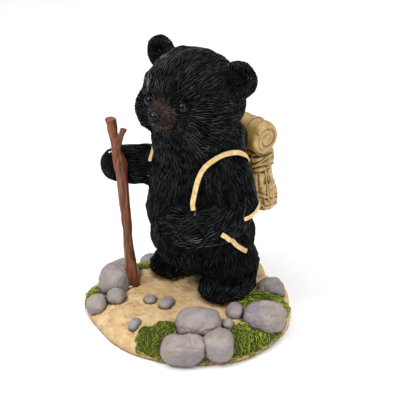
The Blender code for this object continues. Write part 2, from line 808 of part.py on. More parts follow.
def centre_on_origin():
    """Moves every casting so that the whole statue's box is centred over the origin."""
    castings = [thing for thing in bpy.data.objects if thing.type == "MESH"]
    points = [vertex.co for thing in castings for vertex in thing.data.vertices]
    for axis in (0, 1):
        values = [point[axis] for point in points]
        middle = (min(values) + max(values)) / 2
        for point in points:
            point[axis] -= middle


def main():
    for thing in list(bpy.data.objects):
        bpy.data.objects.remove(thing, do_unlink=True)
    slab = base()
    cub = bear()
    flatten_soles(cub)
    keep_clear(slab, cub)
    pack()
    stick()
    boolean(cub, pack(FIT_GAP, "pack_cutter", None), "DIFFERENCE")
    boolean(cub, stick(FIT_GAP, "stick_cutter", None), "DIFFERENCE")
    boolean(slab, stick(FIT_GAP, "socket_cutter", None), "DIFFERENCE")
    for casting in (slab, cub):
        drop_crumbs(casting)
    centre_on_origin()


main()
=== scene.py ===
# %% [markdown]
# # A bear cub that hikes, cast in resin and painted
#
# The real object is a garden figure about 144 mm tall. Four resin castings are
# glued together: a round base of sand with rocks and grass, a black bear cub, its
# backpack with a bedroll, and a crooked walking stick. The loaded solids already
# hold each casting's place and size. This lesson gives them what the carver and
# the painter added: fur in thousands of small locks, straps, glossy eyes, stitched
# canvas, bark, sand grains and blades of grass.

import math

import bpy
import numpy as np
from mathutils import Matrix, Vector, noise
from mathutils.bvhtree import BVHTree
from mathutils.kdtree import KDTree


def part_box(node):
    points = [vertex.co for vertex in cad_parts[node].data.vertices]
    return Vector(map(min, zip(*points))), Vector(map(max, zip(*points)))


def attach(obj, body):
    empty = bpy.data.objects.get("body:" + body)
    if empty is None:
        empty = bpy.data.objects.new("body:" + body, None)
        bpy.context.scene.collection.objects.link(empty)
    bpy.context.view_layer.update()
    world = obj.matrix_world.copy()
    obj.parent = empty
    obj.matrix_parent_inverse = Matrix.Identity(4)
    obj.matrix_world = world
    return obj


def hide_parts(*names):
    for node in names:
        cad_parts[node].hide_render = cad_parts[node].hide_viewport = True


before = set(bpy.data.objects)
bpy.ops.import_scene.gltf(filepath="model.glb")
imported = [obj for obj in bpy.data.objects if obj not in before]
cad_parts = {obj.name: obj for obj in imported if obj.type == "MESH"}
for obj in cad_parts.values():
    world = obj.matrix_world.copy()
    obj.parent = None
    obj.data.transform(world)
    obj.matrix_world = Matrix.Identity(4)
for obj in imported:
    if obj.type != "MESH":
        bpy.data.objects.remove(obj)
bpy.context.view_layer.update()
MM = 0.001
chance = np.random.default_rng(7)
print("solids:", sorted(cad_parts))

# %% [markdown]
# ## The camera first
#
# The figure was photographed from its left front and from above, at arm's length.
# Setting the camera before anything else means that every later choice is looked
# at from the same place. The camera's axes are built from its two angles, and its
# place follows from one known point of the base and where that point is seen.

# %% Place the camera
CAMERA_TURN, CAMERA_HEIGHT = math.radians(50), math.radians(28)
CAMERA_DISTANCE = 0.45
CAMERA_FOCAL_PIXELS = 849
SEEN_POINT, SEEN_AT = Vector((4.5, -9.7, 8)) * MM, (187, 305)
PICTURE_WIDTH = 400
SENSOR_WIDTH = 36

backwards = Vector((math.sin(CAMERA_TURN) * math.cos(CAMERA_HEIGHT),
                    -math.cos(CAMERA_TURN) * math.cos(CAMERA_HEIGHT), math.sin(CAMERA_HEIGHT)))
rightwards = Vector((math.cos(CAMERA_TURN), math.sin(CAMERA_TURN), 0))
upwards = backwards.cross(rightwards)


def aside(across, down):
    """How far beside the camera's axis a place of its picture lies, for each unit ahead."""
    middle = PICTURE_WIDTH / 2
    return (rightwards * (across - middle) + upwards * (middle - down)) / CAMERA_FOCAL_PIXELS


camera_place = SEEN_POINT + (backwards - aside(*SEEN_AT)) * CAMERA_DISTANCE

bpy.ops.object.camera_add()
camera = bpy.context.object
camera.name = "camera"
camera.data.sensor_width = SENSOR_WIDTH
camera.data.lens = SENSOR_WIDTH * CAMERA_FOCAL_PIXELS / PICTURE_WIDTH
turned = Matrix((rightwards, upwards, backwards)).transposed().to_4x4()
camera.matrix_world = Matrix.Translation(camera_place) @ turned
bpy.context.scene.camera = camera
print("camera at", [round(value, 3) for value in camera_place])

# %% [markdown]
# ## Small helpers for modelling by hand
#
# Blender's operators act on whatever is selected, so each step starts by selecting
# one object alone. A finished piece keeps its place in its mesh, with its object
# at the origin, so that patterns in object coordinates stay where they are.

# %% Select, settle and apply
def only(thing):
    """Selects one object alone and makes it the active one."""
    bpy.ops.object.select_all(action="DESELECT")
    thing.select_set(True)
    bpy.context.view_layer.objects.active = thing
    return thing


def finish_modifier(thing, kind, **settings):
    """Adds a modifier with its settings and applies it."""
    only(thing)
    modifier = thing.modifiers.new(kind.lower(), kind)
    for name, value in settings.items():
        setattr(modifier, name, value)
    bpy.ops.object.modifier_apply(modifier=modifier.name)
    return thing


def settle(thing, name, smooth=True):
    """Writes an object's place, turn and size into its mesh, and names it."""
    only(thing)
    bpy.ops.object.transform_apply(location=True, rotation=True, scale=True)
    if smooth:
        bpy.ops.object.shade_smooth()
    thing.name = name
    return thing

# %% Put new meshes in the scene and edit them whole
def shaped(thing, name, place, turn, half):
    """Gives a new ball its place, its turn and three half widths, and settles it."""
    thing.matrix_world = Matrix.Translation(place) @ turn.to_4x4() @ Matrix.Diagonal((*half, 1))
    return settle(thing, name)


def in_scene(name, data):
    """A new object in the scene that shows the given mesh or curve."""
    thing = bpy.data.objects.new(name, data)
    bpy.context.scene.collection.objects.link(thing)
    return thing


def on_whole_mesh(thing, step):
    """Runs one step of edit mode with all of a mesh selected."""
    only(thing)
    bpy.ops.object.mode_set(mode="EDIT")
    bpy.ops.mesh.select_all(action="SELECT")
    step()
    bpy.ops.object.mode_set(mode="OBJECT")
    return thing


def solid_copy(node, name):
    """A copy of a loaded solid whose loose triangles are merged into one skin."""
    thing = in_scene(name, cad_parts[node].data.copy())
    thing.data.materials.clear()
    return on_whole_mesh(thing, lambda: bpy.ops.mesh.remove_doubles(threshold=1e-6))


def fine_skin(thing, cell, passes):
    """Rebuilds a mesh in small even cells and softens the solid's flat facets."""
    finish_modifier(thing, "REMESH", mode="VOXEL", voxel_size=cell)
    finish_modifier(thing, "SMOOTH", factor=0.5, iterations=passes)
    only(thing)
    bpy.ops.object.shade_smooth()
    return thing


def joined(things, name):
    """Joins several objects into one piece."""
    bpy.ops.object.select_all(action="DESELECT")
    for thing in things:
        thing.select_set(True)
    bpy.context.view_layer.objects.active = things[0]
    if len(things) > 1:
        bpy.ops.object.join()
    things[0].name = name
    return things[0]


# %% Read and write points as tables
def points_of(thing, field="co"):
    """The mesh's points, one row each, or another field of them."""
    table = np.empty(len(thing.data.vertices) * 3)
    thing.data.vertices.foreach_get(field, table)
    return table.reshape(-1, 3)


def surface_of(thing):
    """The mesh's points and the directions in which the surface faces there."""
    return points_of(thing), points_of(thing, "normal")


def move_points(thing, table):
    """Gives the mesh's points new places."""
    thing.data.vertices.foreach_set("co", np.asarray(table).ravel())
    thing.data.update()


def note(thing, name, values):
    """Stores a number or a direction for each point, for the materials to read."""
    values = np.asarray(values, float)
    kind, field = ("FLOAT", "value") if values.ndim == 1 else ("FLOAT_VECTOR", "vector")
    attribute = thing.data.attributes.new(name, kind, "POINT")
    attribute.data.foreach_set(field, values.ravel())


def unit(table):
    """Rows scaled to length one."""
    return table / np.maximum(np.linalg.norm(table, axis=-1, keepdims=True), 1e-12)


def distance(table, place):
    """How far each row of a table is from a place."""
    return np.linalg.norm(table - np.array(place), axis=1)


def ramp(values, low, high):
    """0 below low, 1 above high, and a smooth rise between."""
    share = np.clip((np.asarray(values) - low) / (high - low), 0, 1)
    return share * share * (3 - 2 * share)


def noise_rows(table):
    """Smooth noise at each row of a table."""
    return np.array([noise.noise(Vector(row)) for row in table])


def ripple(table, size, seed=0):
    """Smooth noise at each point, with bumps of about the given size."""
    return noise_rows(table / size + seed * np.array((7.3, 3.1, 5.7)))


# %% [markdown]
# ## Building materials from node groups
#
# Every casting is painted resin, so the finishes share a few effects: mottled
# paint, a darker wash in the hollows that also stands for painted shade there and
# where pieces meet, and fine grain. Each effect is one node group with named inputs,
# placed in the materials with its own values. A small function adds a node and fills
# or links its sockets in one line.

# %% Add nodes and materials in one line
def add_node(tree, kind, settings=None, sockets=None):
    """Adds a node, sets its options, and sets or links its input sockets."""
    node = tree.nodes.new(kind)
    for name, value in (settings or {}).items():
        setattr(node, name, value)
    for name, value in (sockets or {}).items():
        if isinstance(value, bpy.types.NodeSocket):
            tree.links.new(value, node.inputs[name])
        else:
            node.inputs[name].default_value = value
    return node


def maths(tree, operation, first, second=0.0, clamp=False):
    """One step of arithmetic on values."""
    settings = {"operation": operation, "use_clamp": clamp}
    return add_node(tree, "ShaderNodeMath", settings, {0: first, 1: second}).outputs[0]


def mixed(tree, share, first, second, blend="MIX"):
    """Two colours mixed by a share, which is a number or a socket."""
    settings = {"data_type": "RGBA", "blend_type": blend}
    node = add_node(tree, "ShaderNodeMix", settings, {0: share, 6: first, 7: second})
    return node.outputs[2]


def stretched(tree, value, low, high, start=0.0, end=1.0):
    """A value stretched from one range to another."""
    return add_node(tree, "ShaderNodeMapRange", {}, {
        "Value": value, "From Min": low, "From Max": high, "To Min": start, "To Max": end,
    }).outputs[0]


def stored(tree, name, part="Fac"):
    """What a mesh stores for its points under a name."""
    return add_node(tree, "ShaderNodeAttribute", {"attribute_name": name}).outputs[part]


def noise_at(tree, place, scale, detail=2.0, roughness=0.5):
    """A noise pattern's value at a place."""
    return add_node(tree, "ShaderNodeTexNoise", {}, {
        "Vector": place, "Scale": scale, "Detail": detail, "Roughness": roughness}).outputs[0]


def bumped(tree, height, distance, strength=1.0):
    """A surface direction bent by a height pattern."""
    return add_node(tree, "ShaderNodeBump", {}, {
        "Height": height, "Distance": distance, "Strength": strength}).outputs[0]


def place_in(tree):
    """The point's place on the object."""
    return add_node(tree, "ShaderNodeTexCoord").outputs["Object"]

# %% Start a material, feed its shader and hand a piece over
def colour(red, green, blue):
    """A colour given as it looks on a screen, from 0 to 255, as light."""
    def light(value):
        """One channel's share of light."""
        value = value / 255
        return value / 12.92 if value <= 0.04045 else ((value + 0.055) / 1.055) ** 2.4
    return (light(red), light(green), light(blue), 1.0)


def new_material(name, roughness, specular=0.5, coat=0.0):
    """A material with its Principled shader's constant values set."""
    made = bpy.data.materials.new(name)
    made.use_nodes = True
    shader = made.node_tree.nodes["Principled BSDF"]
    shader.inputs["Roughness"].default_value = roughness
    shader.inputs["Specular IOR Level"].default_value = specular
    shader.inputs["Coat Weight"].default_value = coat
    shader.inputs["Coat Roughness"].default_value = 0.2
    return made, made.node_tree, shader


def feed(tree, shader, **sockets):
    """Links values to the shader's sockets, whose names are written with underscores."""
    for name, value in sockets.items():
        tree.links.new(value, shader.inputs[name.replace("_", " ")])


def complete(thing, paint):
    """Gives a finished piece its paint and the body that it rides on."""
    thing.data.materials.clear()
    thing.data.materials.append(paint)
    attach(thing, "root")
    return thing


# %% The paint group: mottles, speckles, and a wash with painted shade in the hollows
def group(name, inputs, outputs):
    """An empty node group with named inputs and outputs."""
    tree = bpy.data.node_groups.new(name, "ShaderNodeTree")
    for label, kind, value in inputs:
        socket = tree.interface.new_socket(label, in_out="INPUT", socket_type="NodeSocket" + kind)
        if value is not None:
            socket.default_value = value
    for label, kind in outputs:
        tree.interface.new_socket(label, in_out="OUTPUT", socket_type="NodeSocket" + kind)
    return tree, tree.nodes.new("NodeGroupInput").outputs, tree.nodes.new("NodeGroupOutput").inputs


def scaled(tree, vector, factor):
    """A colour or a direction made longer or shorter."""
    sockets = {0: vector, "Scale": factor}
    return add_node(tree, "ShaderNodeVectorMath", {"operation": "SCALE"}, sockets).outputs[0]


GREY, DARK_GREY = (0.5, 0.5, 0.5, 1), (0.1, 0.1, 0.1, 1)
tree, given, result = group("painted_resin", [
    ("Place", "Vector", None), ("Paint", "Color", GREY), ("Second paint", "Color", GREY),
    ("Wash and shade", "Color", DARK_GREY), ("Hollow", "Float", 0.0), ("Mottle scale", "Float", 200.0),
    ("Grain scale", "Float", 1500.0), ("Grain", "Float", 0.2),
], [("Colour", "Color"), ("Height", "Float"), ("Roughness", "Float")])
mottle = noise_at(tree, given["Place"], given["Mottle scale"], 3.0, 0.6)
grain = noise_at(tree, given["Place"], given["Grain scale"], 2.0, 0.6)
paint = mixed(tree, stretched(tree, mottle, 0.36, 0.64), given["Paint"], given["Second paint"])
speck = stretched(tree, grain, 0.3, 0.7, -0.5, 0.5)
lighter = maths(tree, "MULTIPLY_ADD", speck, given["Grain"])
tree.nodes[-1].inputs[2].default_value = 1.0
# The wash colour fills the hollow share: partly real wash in carved grooves, partly painted shade measured
# by ambient occlusion.
wash_and_shade_edge = maths(tree, "ADD", given["Hollow"], maths(tree, "MULTIPLY", speck, 0.25))
washed_and_shaded = mixed(tree, stretched(tree, wash_and_shade_edge, 0.15, 0.85), scaled(tree, paint, lighter), given["Wash and shade"])
tree.links.new(washed_and_shaded, result["Colour"])
tree.links.new(grain, result["Height"])
tree.links.new(stretched(tree, mottle, 0.3, 0.7, -0.06, 0.06), result["Roughness"])

# %% The lock group: fine lines that follow the way the fur lies
tree, given, result = group("lock_lines", [
    ("Place", "Vector", None), ("Flow", "Vector", None),
    ("Scale", "Float", 1000.0), ("Length", "Float", 0.002),
], [("Height", "Float")])
TAPS = 5
total = 0.0
for tap in range(TAPS):
    step = maths(tree, "MULTIPLY", given["Length"], (tap + 0.5) / TAPS - 0.5)
    sockets = {0: given["Place"], 1: scaled(tree, given["Flow"], step)}
    spot = add_node(tree, "ShaderNodeVectorMath", {"operation": "ADD"}, sockets)
    total = maths(tree, "ADD", noise_at(tree, spot.outputs[0], given["Scale"], 1.0), total)
mean = maths(tree, "DIVIDE", total, TAPS)
tree.links.new(stretched(tree, mean, 0.38, 0.62), result["Height"])
print("node groups:", [made.name for made in bpy.data.node_groups])

# %% [markdown]
# ## The fur's paint
#
# The carver cut the fur as overlapping locks and the painter coated it in black,
# with brown on the muzzle. Grey on the locks' ridges, fading to black down their
# sides, is partly paint dragged over them and partly painted highlight, with
# painted shade down the sides. Locks are real geometry here, so the material only
# needs the colours, a low sheen, and finer hairs between the locks. How brown, pale
# or raised a place is, and how the fur lies there, is stored on the meshes under
# short names that the material reads; how pale a lock is also carries painted light
# and shade.

# %% Paint the fur
BLACK, CHARCOAL = colour(2, 3, 3), colour(98, 104, 106)
BROWN, DARK_BROWN = colour(146, 126, 114), colour(32, 28, 27)


def fur_material(name, hair_size, on_locks):
    """Black fur with grey ridges that are partly painted highlight, and a brown muzzle, for the skin or for
    the locks.
    """
    made, tree, shader = new_material(name, 0.45, 0.0)
    shader.inputs["Coat Roughness"].default_value = 0.3
    place = place_in(tree)
    mottle = noise_at(tree, place, 260.0, 2.0)
    shade = stored(tree, "shade")
    grey_paint_and_painted_light = maths(tree, "MULTIPLY", shade, stretched(tree, mottle, 0.35, 0.65, 0.3, 1.0))
    if on_locks:
        # Painted highlight and shade: each lock is grey along its ridge and black down its sides and at its
        # tip, partly dragged paint.
        ridge = stretched(tree, stored(tree, "ridge"), 0.5, 1.0)
        grey_paint_and_painted_light = maths(tree, "MULTIPLY", grey_paint_and_painted_light, ridge)
        height = noise_at(tree, stored(tree, "hair", "Vector"), 1.0, 2.0)
        feed(tree, shader, Coat_Weight=stretched(tree, ridge, 0.0, 1.0, 0.015, 0.6))
    else:
        grey_paint_and_painted_light = maths(tree, "MULTIPLY", grey_paint_and_painted_light, 0.15)
        lines = tree.nodes.new("ShaderNodeGroup")
        lines.node_tree = bpy.data.node_groups["lock_lines"]
        lines.inputs["Scale"].default_value = 1500.0
        lines.inputs["Length"].default_value = 0.0022
        tree.links.new(place, lines.inputs["Place"])
        tree.links.new(stored(tree, "flow", "Vector"), lines.inputs["Flow"])
        height = lines.outputs["Height"]
        feed(tree, shader, Coat_Weight=stretched(tree, height, 0.4, 1.0, 0.01, 0.12))
    black = mixed(tree, grey_paint_and_painted_light, BLACK, CHARCOAL)
    brown = mixed(tree, maths(tree, "MULTIPLY", grey_paint_and_painted_light, 1.3, True), DARK_BROWN, BROWN)
    paint = mixed(tree, stored(tree, "brown"), black, brown)
    if on_locks:
        paint = mixed(tree, stored(tree, "chip"), paint, colour(150, 146, 136))
    rough = stretched(tree, mottle, 0.3, 0.7, 0.36, 0.5)
    feed(tree, shader, Base_Color=paint, Roughness=rough, Normal=bumped(tree, height, hair_size))
    return made


SKIN_PAINT = fur_material("fur_skin", 0.25 * MM, False)
LOCK_PAINT = fur_material("fur_locks", 0.06 * MM, True)

# %% [markdown]
# ## The bear's skin
#
# Under the locks lies one smooth skin. It starts as a copy of the bear's solid,
# whose facets are a few millimetres wide. A voxel remesh cuts it into even small
# cells and a smoothing pass rounds the facets off. Some numbers about the figure
# are used again and again, so they are named first, in millimetres.

# %% Name the figure's main places
def figure(x, y, z):
    """A place on the bear, in millimetres from its own middle and its soles."""
    return Vector((x - 1.5, y - 3.7, z + 9)) * MM


HEAD_TURNED = Matrix.Rotation(math.radians(12), 3, "Z") @ Matrix.Rotation(math.radians(4), 3, "Y")
HEAD_MIDDLE = figure(-8, 10, 109)


def head(across, back, up):
    """A place on the head: towards its left, its back and its crown, from its middle."""
    return HEAD_MIDDLE + HEAD_TURNED @ (Vector((across, back, up)) * MM)


def on_head(table, middle=HEAD_MIDDLE):
    """Rows of places turned into the head's own millimetres, from its middle or another place."""
    return (table - np.array(middle)) @ np.array(HEAD_TURNED) / MM


EARS = [(head(side * 24.2, 4, 14.5), side) for side in (1, -1)]
RIGHT_ARM = [figure(-20, 12, 70), figure(-27, 7, 67), figure(-34, -1, 66.5), figure(-41, -14, 68)]
LEFT_ARM = [figure(14, 15, 70), figure(18, 17, 59), figure(18.5, 12, 51), figure(16, 3, 47.5),
            figure(10.5, -4.5, 46.5), figure(5, -8, 46)]

# %% Make the skin, with cups in the ears
skin = fine_skin(solid_copy("bear", "bear_skin"), 0.8 * MM, 10)


def ear_cups(table):
    """How deep in an ear's cup each point is: 1 in its middle and 0 on the rim."""
    cup = np.zeros(len(table))
    for middle, side in EARS:
        across, back, up = on_head(table, middle).T
        reach = np.sqrt((across + side * 0.6) ** 2 + (up + 0.8) ** 2)
        cup = np.maximum(cup, (1 - ramp(reach, 3.4, 6.6)) * (back < 1.5))
    return cup


skin_points, skin_facing = surface_of(skin)
in_cup = ear_cups(skin_points) * ramp(-skin_facing[:, 1], 0.0, 0.5)
skin_points[:, 1] += in_cup * 2.2 * MM
move_points(skin, skin_points)
skin_tree = BVHTree.FromObject(skin, bpy.context.evaluated_depsgraph_get())
print("skin:", len(skin.data.polygons), "faces")


def on_face(across, up, depth=0.0):
    """The place on the face's skin straight behind a point in front of it."""
    ahead = head(across, -80, up)
    back = HEAD_TURNED @ Vector((0, 1, 0))
    return skin_tree.ray_cast(ahead, back)[0] + back * depth * MM


EYE_RADIUS = 2.8 * MM
EYES = [on_face(10.1, 3.2, 2.4), on_face(-9.7, 0.6, 2.0)]
NOSE = on_face(0, -1.8, 0.6)
print("nose at", [round(value / MM, 1) for value in NOSE])

# %% [markdown]
# ## Which way the fur lies
#
# Carved fur looks right only when its strokes flow over the body. On the head they
# leave the nose in all directions, on the ears they run out to the rim, on a limb
# they follow it to the paw, and elsewhere they fall. Each rule gives a direction
# and a weight at every point, and the weighted sum is laid flat on the skin.

# %% Work out the flow
def near_line(table, line):
    """How far points are from a bent line, and the line's direction there."""
    best, way = np.full(len(table), 9.0), np.zeros_like(table)
    for start, end in zip(line, line[1:]):
        along = np.array(end - start)
        share = np.clip((table - np.array(start)) @ along / (along @ along), 0, 1)
        away = np.linalg.norm(table - (np.array(start) + share[:, None] * along), axis=1)
        closer = away < best
        best[closer], way[closer] = away[closer], unit(along)
    return best, way


def fur_flow(table, facing):
    """The way the fur lies at each point of the skin."""
    down = np.zeros_like(table) + (0, 0.12, -1)
    down[:, 0] = 0.25 * np.sin(table[:, 0] / (4.5 * MM))
    nose = np.array(head(0, -22, -2))
    away = unit(table - nose)
    in_head = ramp(table[:, 2], 97 * MM, 106 * MM)
    near_muzzle = 1 - ramp(distance(table, nose), 24 * MM, 34 * MM)
    in_head = np.maximum(in_head, near_muzzle)[:, None]
    flow = unit(down) * (1 - in_head) + away * in_head
    for line, reach in ((RIGHT_ARM, 13), (LEFT_ARM, 12.5)):
        away_from_limb, way = near_line(table, line)
        weight = (1 - ramp(away_from_limb, (reach - 1.5) * MM, (reach + 2) * MM))[:, None] * (1 - in_head)
        flow = flow * (1 - weight) + unit(way + unit(down) * 0.25) * weight
    low = (1 - ramp(table[:, 2], 17 * MM, 26 * MM))[:, None]
    flow = flow * (1 - low) + unit(np.zeros_like(table) + (0.1, -1, -0.55)) * low
    for middle, _ in EARS:
        weight = (1 - ramp(distance(table, middle), 9.5 * MM, 13 * MM))[:, None]
        flow = flow * (1 - weight) + unit(table - np.array(middle)) * weight
    sway = 0.35 * ripple(table, 9 * MM, 1)[:, None]
    sway = sway + 0.5 * ripple(table, 5 * MM, 8)[:, None] * (1 - in_head)
    flow = unit(flow) + np.cross(facing, unit(flow)) * sway
    flow -= facing * np.sum(flow * facing, axis=1, keepdims=True)
    return unit(flow)


def brown_share(table):
    """How brown the muzzle's paint is at each point: most on its bridge and sides."""
    across, back, up = on_head(table).T
    reach = np.sqrt((across / 8.8) ** 2 + ((back + 24) / 9) ** 2 + ((up + 3.2) / 8.6) ** 2)
    return 1 - ramp(reach, 0.72, 1.1)


skin_points, skin_facing = surface_of(skin)
note(skin, "flow", fur_flow(skin_points, skin_facing))
note(skin, "brown", brown_share(skin_points) * 0.9)
note(skin, "shade", 0.3 + 0.5 * ripple(skin_points, 2 * MM, 3))
complete(skin, SKIN_PAINT)
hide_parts("bear")

# %% [markdown]
# ## One lock of fur, modelled once
#
# A lock is a long, pointed stroke with a sharp ridge along its back. A three-sided
# cone has that shape already: it is cut across three times, and each cut's ring is
# widened, which gives a root, a long belly and a tip. Thousands of copies of these
# few triangles are then laid on the skin, so the lock stays this simple.

# %% Model the lock and read its shape
bpy.ops.mesh.primitive_cone_add(vertices=3, radius1=0.3, radius2=0, depth=1, location=(0, 0, 0.5))
lock = bpy.context.object
bpy.ops.object.mode_set(mode="EDIT")
for height_up, widened in ((0.18, 1.9), (0.45, 1.6), (0.75, 1.5)):
    bpy.ops.mesh.select_all(action="SELECT")
    bpy.ops.mesh.bisect(plane_co=(0, 0, height_up), plane_no=(0, 0, 1))
    bpy.ops.transform.resize(value=(widened, widened, 1))
bpy.ops.mesh.select_all(action="SELECT")
bpy.ops.mesh.quads_convert_to_tris()
bpy.ops.mesh.normals_make_consistent(inside=False)
bpy.ops.object.mode_set(mode="OBJECT")
settle(lock, "lock_pattern")
LOCK_SHAPE = points_of(lock)
LOCK_FACES = np.array([list(face.vertices) for face in lock.data.polygons])
bpy.data.objects.remove(lock)
print("lock:", len(LOCK_SHAPE), "points,", len(LOCK_FACES), "triangles")


def fallen(tree, tips):
    """The way from each tip to the surface nearest to it."""
    return np.array([tree.find_nearest(Vector(tip))[0] for tip in tips]) - tips


def dropped(tree, roots, facing, along, length):
    """How far the surface falls away under each tip, and the length that still follows it."""
    off = np.linalg.norm(fallen(tree, roots + along * length[:, None]), axis=1)
    length = np.where(off > 0.28 * length, 0.5 * length, length)
    fall = np.sum(fallen(tree, roots + along * length[:, None]) * facing, axis=1)
    return np.clip(fall, -0.35 * length, 0.3 * length), length


def plant(name, roots, facing, along, length, width, height, lift, drop, bend=0.0):
    """Lays copies of the lock: each follows the surface from its root, its tip lifted."""
    across = np.cross(along, facing)
    x, y, z = LOCK_SHAPE.T
    reach = np.outer(length, z)
    out = np.outer(height, y - 0.25 * (1 - z)) + np.outer(lift, z) + np.outer(drop, z * z)
    side = np.outer(width, x) + np.outer(bend * length, z * z)
    table = (roots[:, None] + across[:, None] * side[..., None]
             + facing[:, None] * out[..., None] + along[:, None] * reach[..., None])
    count = len(roots)
    faces = LOCK_FACES[None] + (np.arange(count) * len(LOCK_SHAPE))[:, None, None]
    mesh = bpy.data.meshes.new(name)
    mesh.from_pydata(table.reshape(-1, 3), [], faces.reshape(-1, 3))
    thing = in_scene(name, mesh)
    note(thing, "ridge", np.tile((y > 0.05) * np.minimum(1, 4 - 4 * z), count))
    hairs = np.tile(LOCK_SHAPE * (9, 9, 2.5), (count, 1))
    note(thing, "hair", hairs + np.repeat(np.arange(count) % 97, len(LOCK_SHAPE))[:, None])
    return thing


def per_point(values):
    """One number for each lock, repeated for the lock's points."""
    return np.repeat(values, len(LOCK_SHAPE))


# %% [markdown]
# ## The straps' routes
#
# The straps come before the fur, because no lock may grow through them. Each route
# is a few places near the skin; a smooth curve runs through them and every point
# of it is snapped to the skin. The band itself is a grid whose rows follow that
# curve, with two rolled edges and a shallow channel, as the carver cut it.

# %% Write down the routes
ROUTES = {
    "strap_left": (2.7, [
        (11.5, 33.5, 73), (14, 30.5, 76.5), (16.5, 26, 79), (17.8, 21.5, 82.2), (17.8, 16.5, 85.2),
        (17, 10.3, 86.3), (15.6, 5.6, 85.3), (12.4, 1, 80.8), (9.5, -0.8, 73.6), (9, -3, 66.8),
        (9.1, -4.2, 61), (10.4, -4.6, 56.8)]),
    "strap_right": (2.2, [
        (-27.5, 33.5, 76), (-31, 29, 80), (-33, 23, 83), (-33.4, 17, 85.3), (-32, 10.6, 86), (-30, 5, 83),
        (-27.8, 0.3, 79), (-26.2, -2.2, 75), (-25, -4.2, 70.5)]),
    "strap_lower_left": (2.1, [
        (10, 37, 51), (15, 35, 52), (22, 30, 55), (27.2, 23.5, 58.4), (28.8, 17, 55.6), (28.6, 11, 54.4)]),
    "strap_lower_right": (2.1, [(-26, 37, 51), (-30, 35, 52), (-36, 27, 55), (-37, 18, 52), (-36, 9, 50)]),
    "belt_left": (2.6, [
        (24.6, 0.6, 48.6), (25.6, 3.2, 46.2), (25, 6.4, 43), (22.6, 10.8, 39), (20.3, 14.6, 35.2),
        (20.8, 17.5, 32.3), (21.4, 20.4, 29.7), (21.2, 22.1, 28.6)]),
    "belt_right": (2.6, [(-33, 2, 42), (-34.5, 10, 38), (-35.5, 18, 33), (-35, 24, 29)]),
}
print("routes:", {name: len(route) for name, (_, route) in ROUTES.items()})

# %% Snap a route to the skin
def smooth_curve(places, steps):
    """A smooth curve through the given places."""
    ends = [2 * places[0] - places[1], *places, 2 * places[-1] - places[-2]]
    curve = []
    for a, b, c, d in zip(ends, ends[1:], ends[2:], ends[3:]):
        for step in range(steps):
            t = step / steps
            curve.append(0.5 * (2 * b + (c - a) * t + (2 * a - 5 * b + 4 * c - d) * t * t
                                + (3 * b - a - 3 * c + d) * t ** 3))
    return curve + [places[-1].copy()]


def softened(vectors, passes=3):
    """A row of vectors averaged with their neighbours."""
    for _ in range(passes):
        vectors = [(vectors[max(i - 1, 0)] + vectors[i] * 2 + vectors[min(i + 1, len(vectors) - 1)]) / 4
                   for i in range(len(vectors))]
    return vectors


def on_skin(route):
    """A route snapped to the skin: its places and the directions that face outwards."""
    curve = smooth_curve([figure(*place) for place in route], 9)
    hits = [skin_tree.find_nearest(place) for place in curve]
    ways = softened([hit[1] for hit in hits], 12)
    return softened([hit[0] for hit in hits], 8), [way.normalized() for way in ways]

# %% Model the band
HALF_BAND = ((1.0, -0.15), (0.94, 0.62), (0.72, 1.0), (0.45, 0.8))
BAND = (*((-across, rise) for across, rise in HALF_BAND), (0.0, 0.72), *reversed(HALF_BAND))
BAND_ENDS = (0.62, 0.86, 0.97, 1.0)


def band(name, spots, ways, width, height=0.95 * MM, sunk=0.7 * MM):
    """A flat band along a row of places, with rolled edges and rounded ends, closed underneath."""
    bpy.ops.mesh.primitive_grid_add(x_subdivisions=len(BAND) - 1, y_subdivisions=len(spots) - 1, size=1)
    thing = bpy.context.object
    table = []
    for i, (spot, way) in enumerate(zip(spots, ways)):
        along = (spots[min(i + 1, len(spots) - 1)] - spots[max(i - 1, 0)]).normalized()
        side = along.cross(way).normalized()
        end = min(i, len(spots) - 1 - i, len(BAND_ENDS) - 1)
        half = width / 2 * BAND_ENDS[end] * (1 + 0.06 * noise.noise(spot / (3 * MM)))
        high = height * (0.55 if end == 0 else 1.0)
        table += [spot + side * across * half + way * rise * high for across, rise in BAND]
    move_points(thing, table)
    finish_modifier(thing, "SOLIDIFY", thickness=sunk, offset=-1.0)
    finish_modifier(thing, "SUBSURF", levels=1, render_levels=1)
    return settle(on_whole_mesh(thing, lambda: bpy.ops.mesh.normals_make_consistent(inside=False)), name)

# %% Lay the straps on the skin
def brought_forward(spots, ways):
    """The belt turned to its flat side, and bulged where the thigh's fur would cover it."""
    bulges = 0.5 + 3.0 * np.exp(-((np.linspace(0, 1, len(spots)) - 0.42) / 0.16) ** 2)
    return ([spot + backwards * bulge * MM for spot, bulge in zip(spots, bulges)],
            [(way + backwards * 2.5).normalized() for way in ways])


STRAPS, STRAP_LINES = [], []
for name, (width, route) in ROUTES.items():
    spots, ways = on_skin(route)
    if name == "belt_left":
        spots, ways = brought_forward(spots, ways)
    STRAPS.append(band(name, spots, ways, width * MM))
    STRAP_LINES.append((np.array(spots), width / 2 * MM))
print("straps:", [strap.name for strap in STRAPS])

# %% [markdown]
# ## Locks over the whole skin
#
# Carved locks are spread evenly, so their roots can't be thrown at random. A remesh
# of the same skin gives many possible roots. They are tried in random order, and one
# is kept if no kept root lies in an ellipse around it, long in the way the fur lies.
# Locks are left out where the real fur stops: on the eyes, the nose and the soles,
# under the straps, and in the recess behind the pack.

# %% Choose the roots
def possible_roots(thing, apart):
    """Points spread evenly over a piece, and the directions in which it faces there."""
    seeds = finish_modifier(in_scene("seeds", thing.data.copy()), "REMESH", mode="VOXEL", voxel_size=apart)
    surface = surface_of(seeds)
    bpy.data.objects.remove(seeds)
    return surface


roots, facing = possible_roots(skin, 0.72 * MM)
roots = roots + chance.normal(0, 0.22 * MM, roots.shape)
roots = roots + fallen(skin_tree, roots)

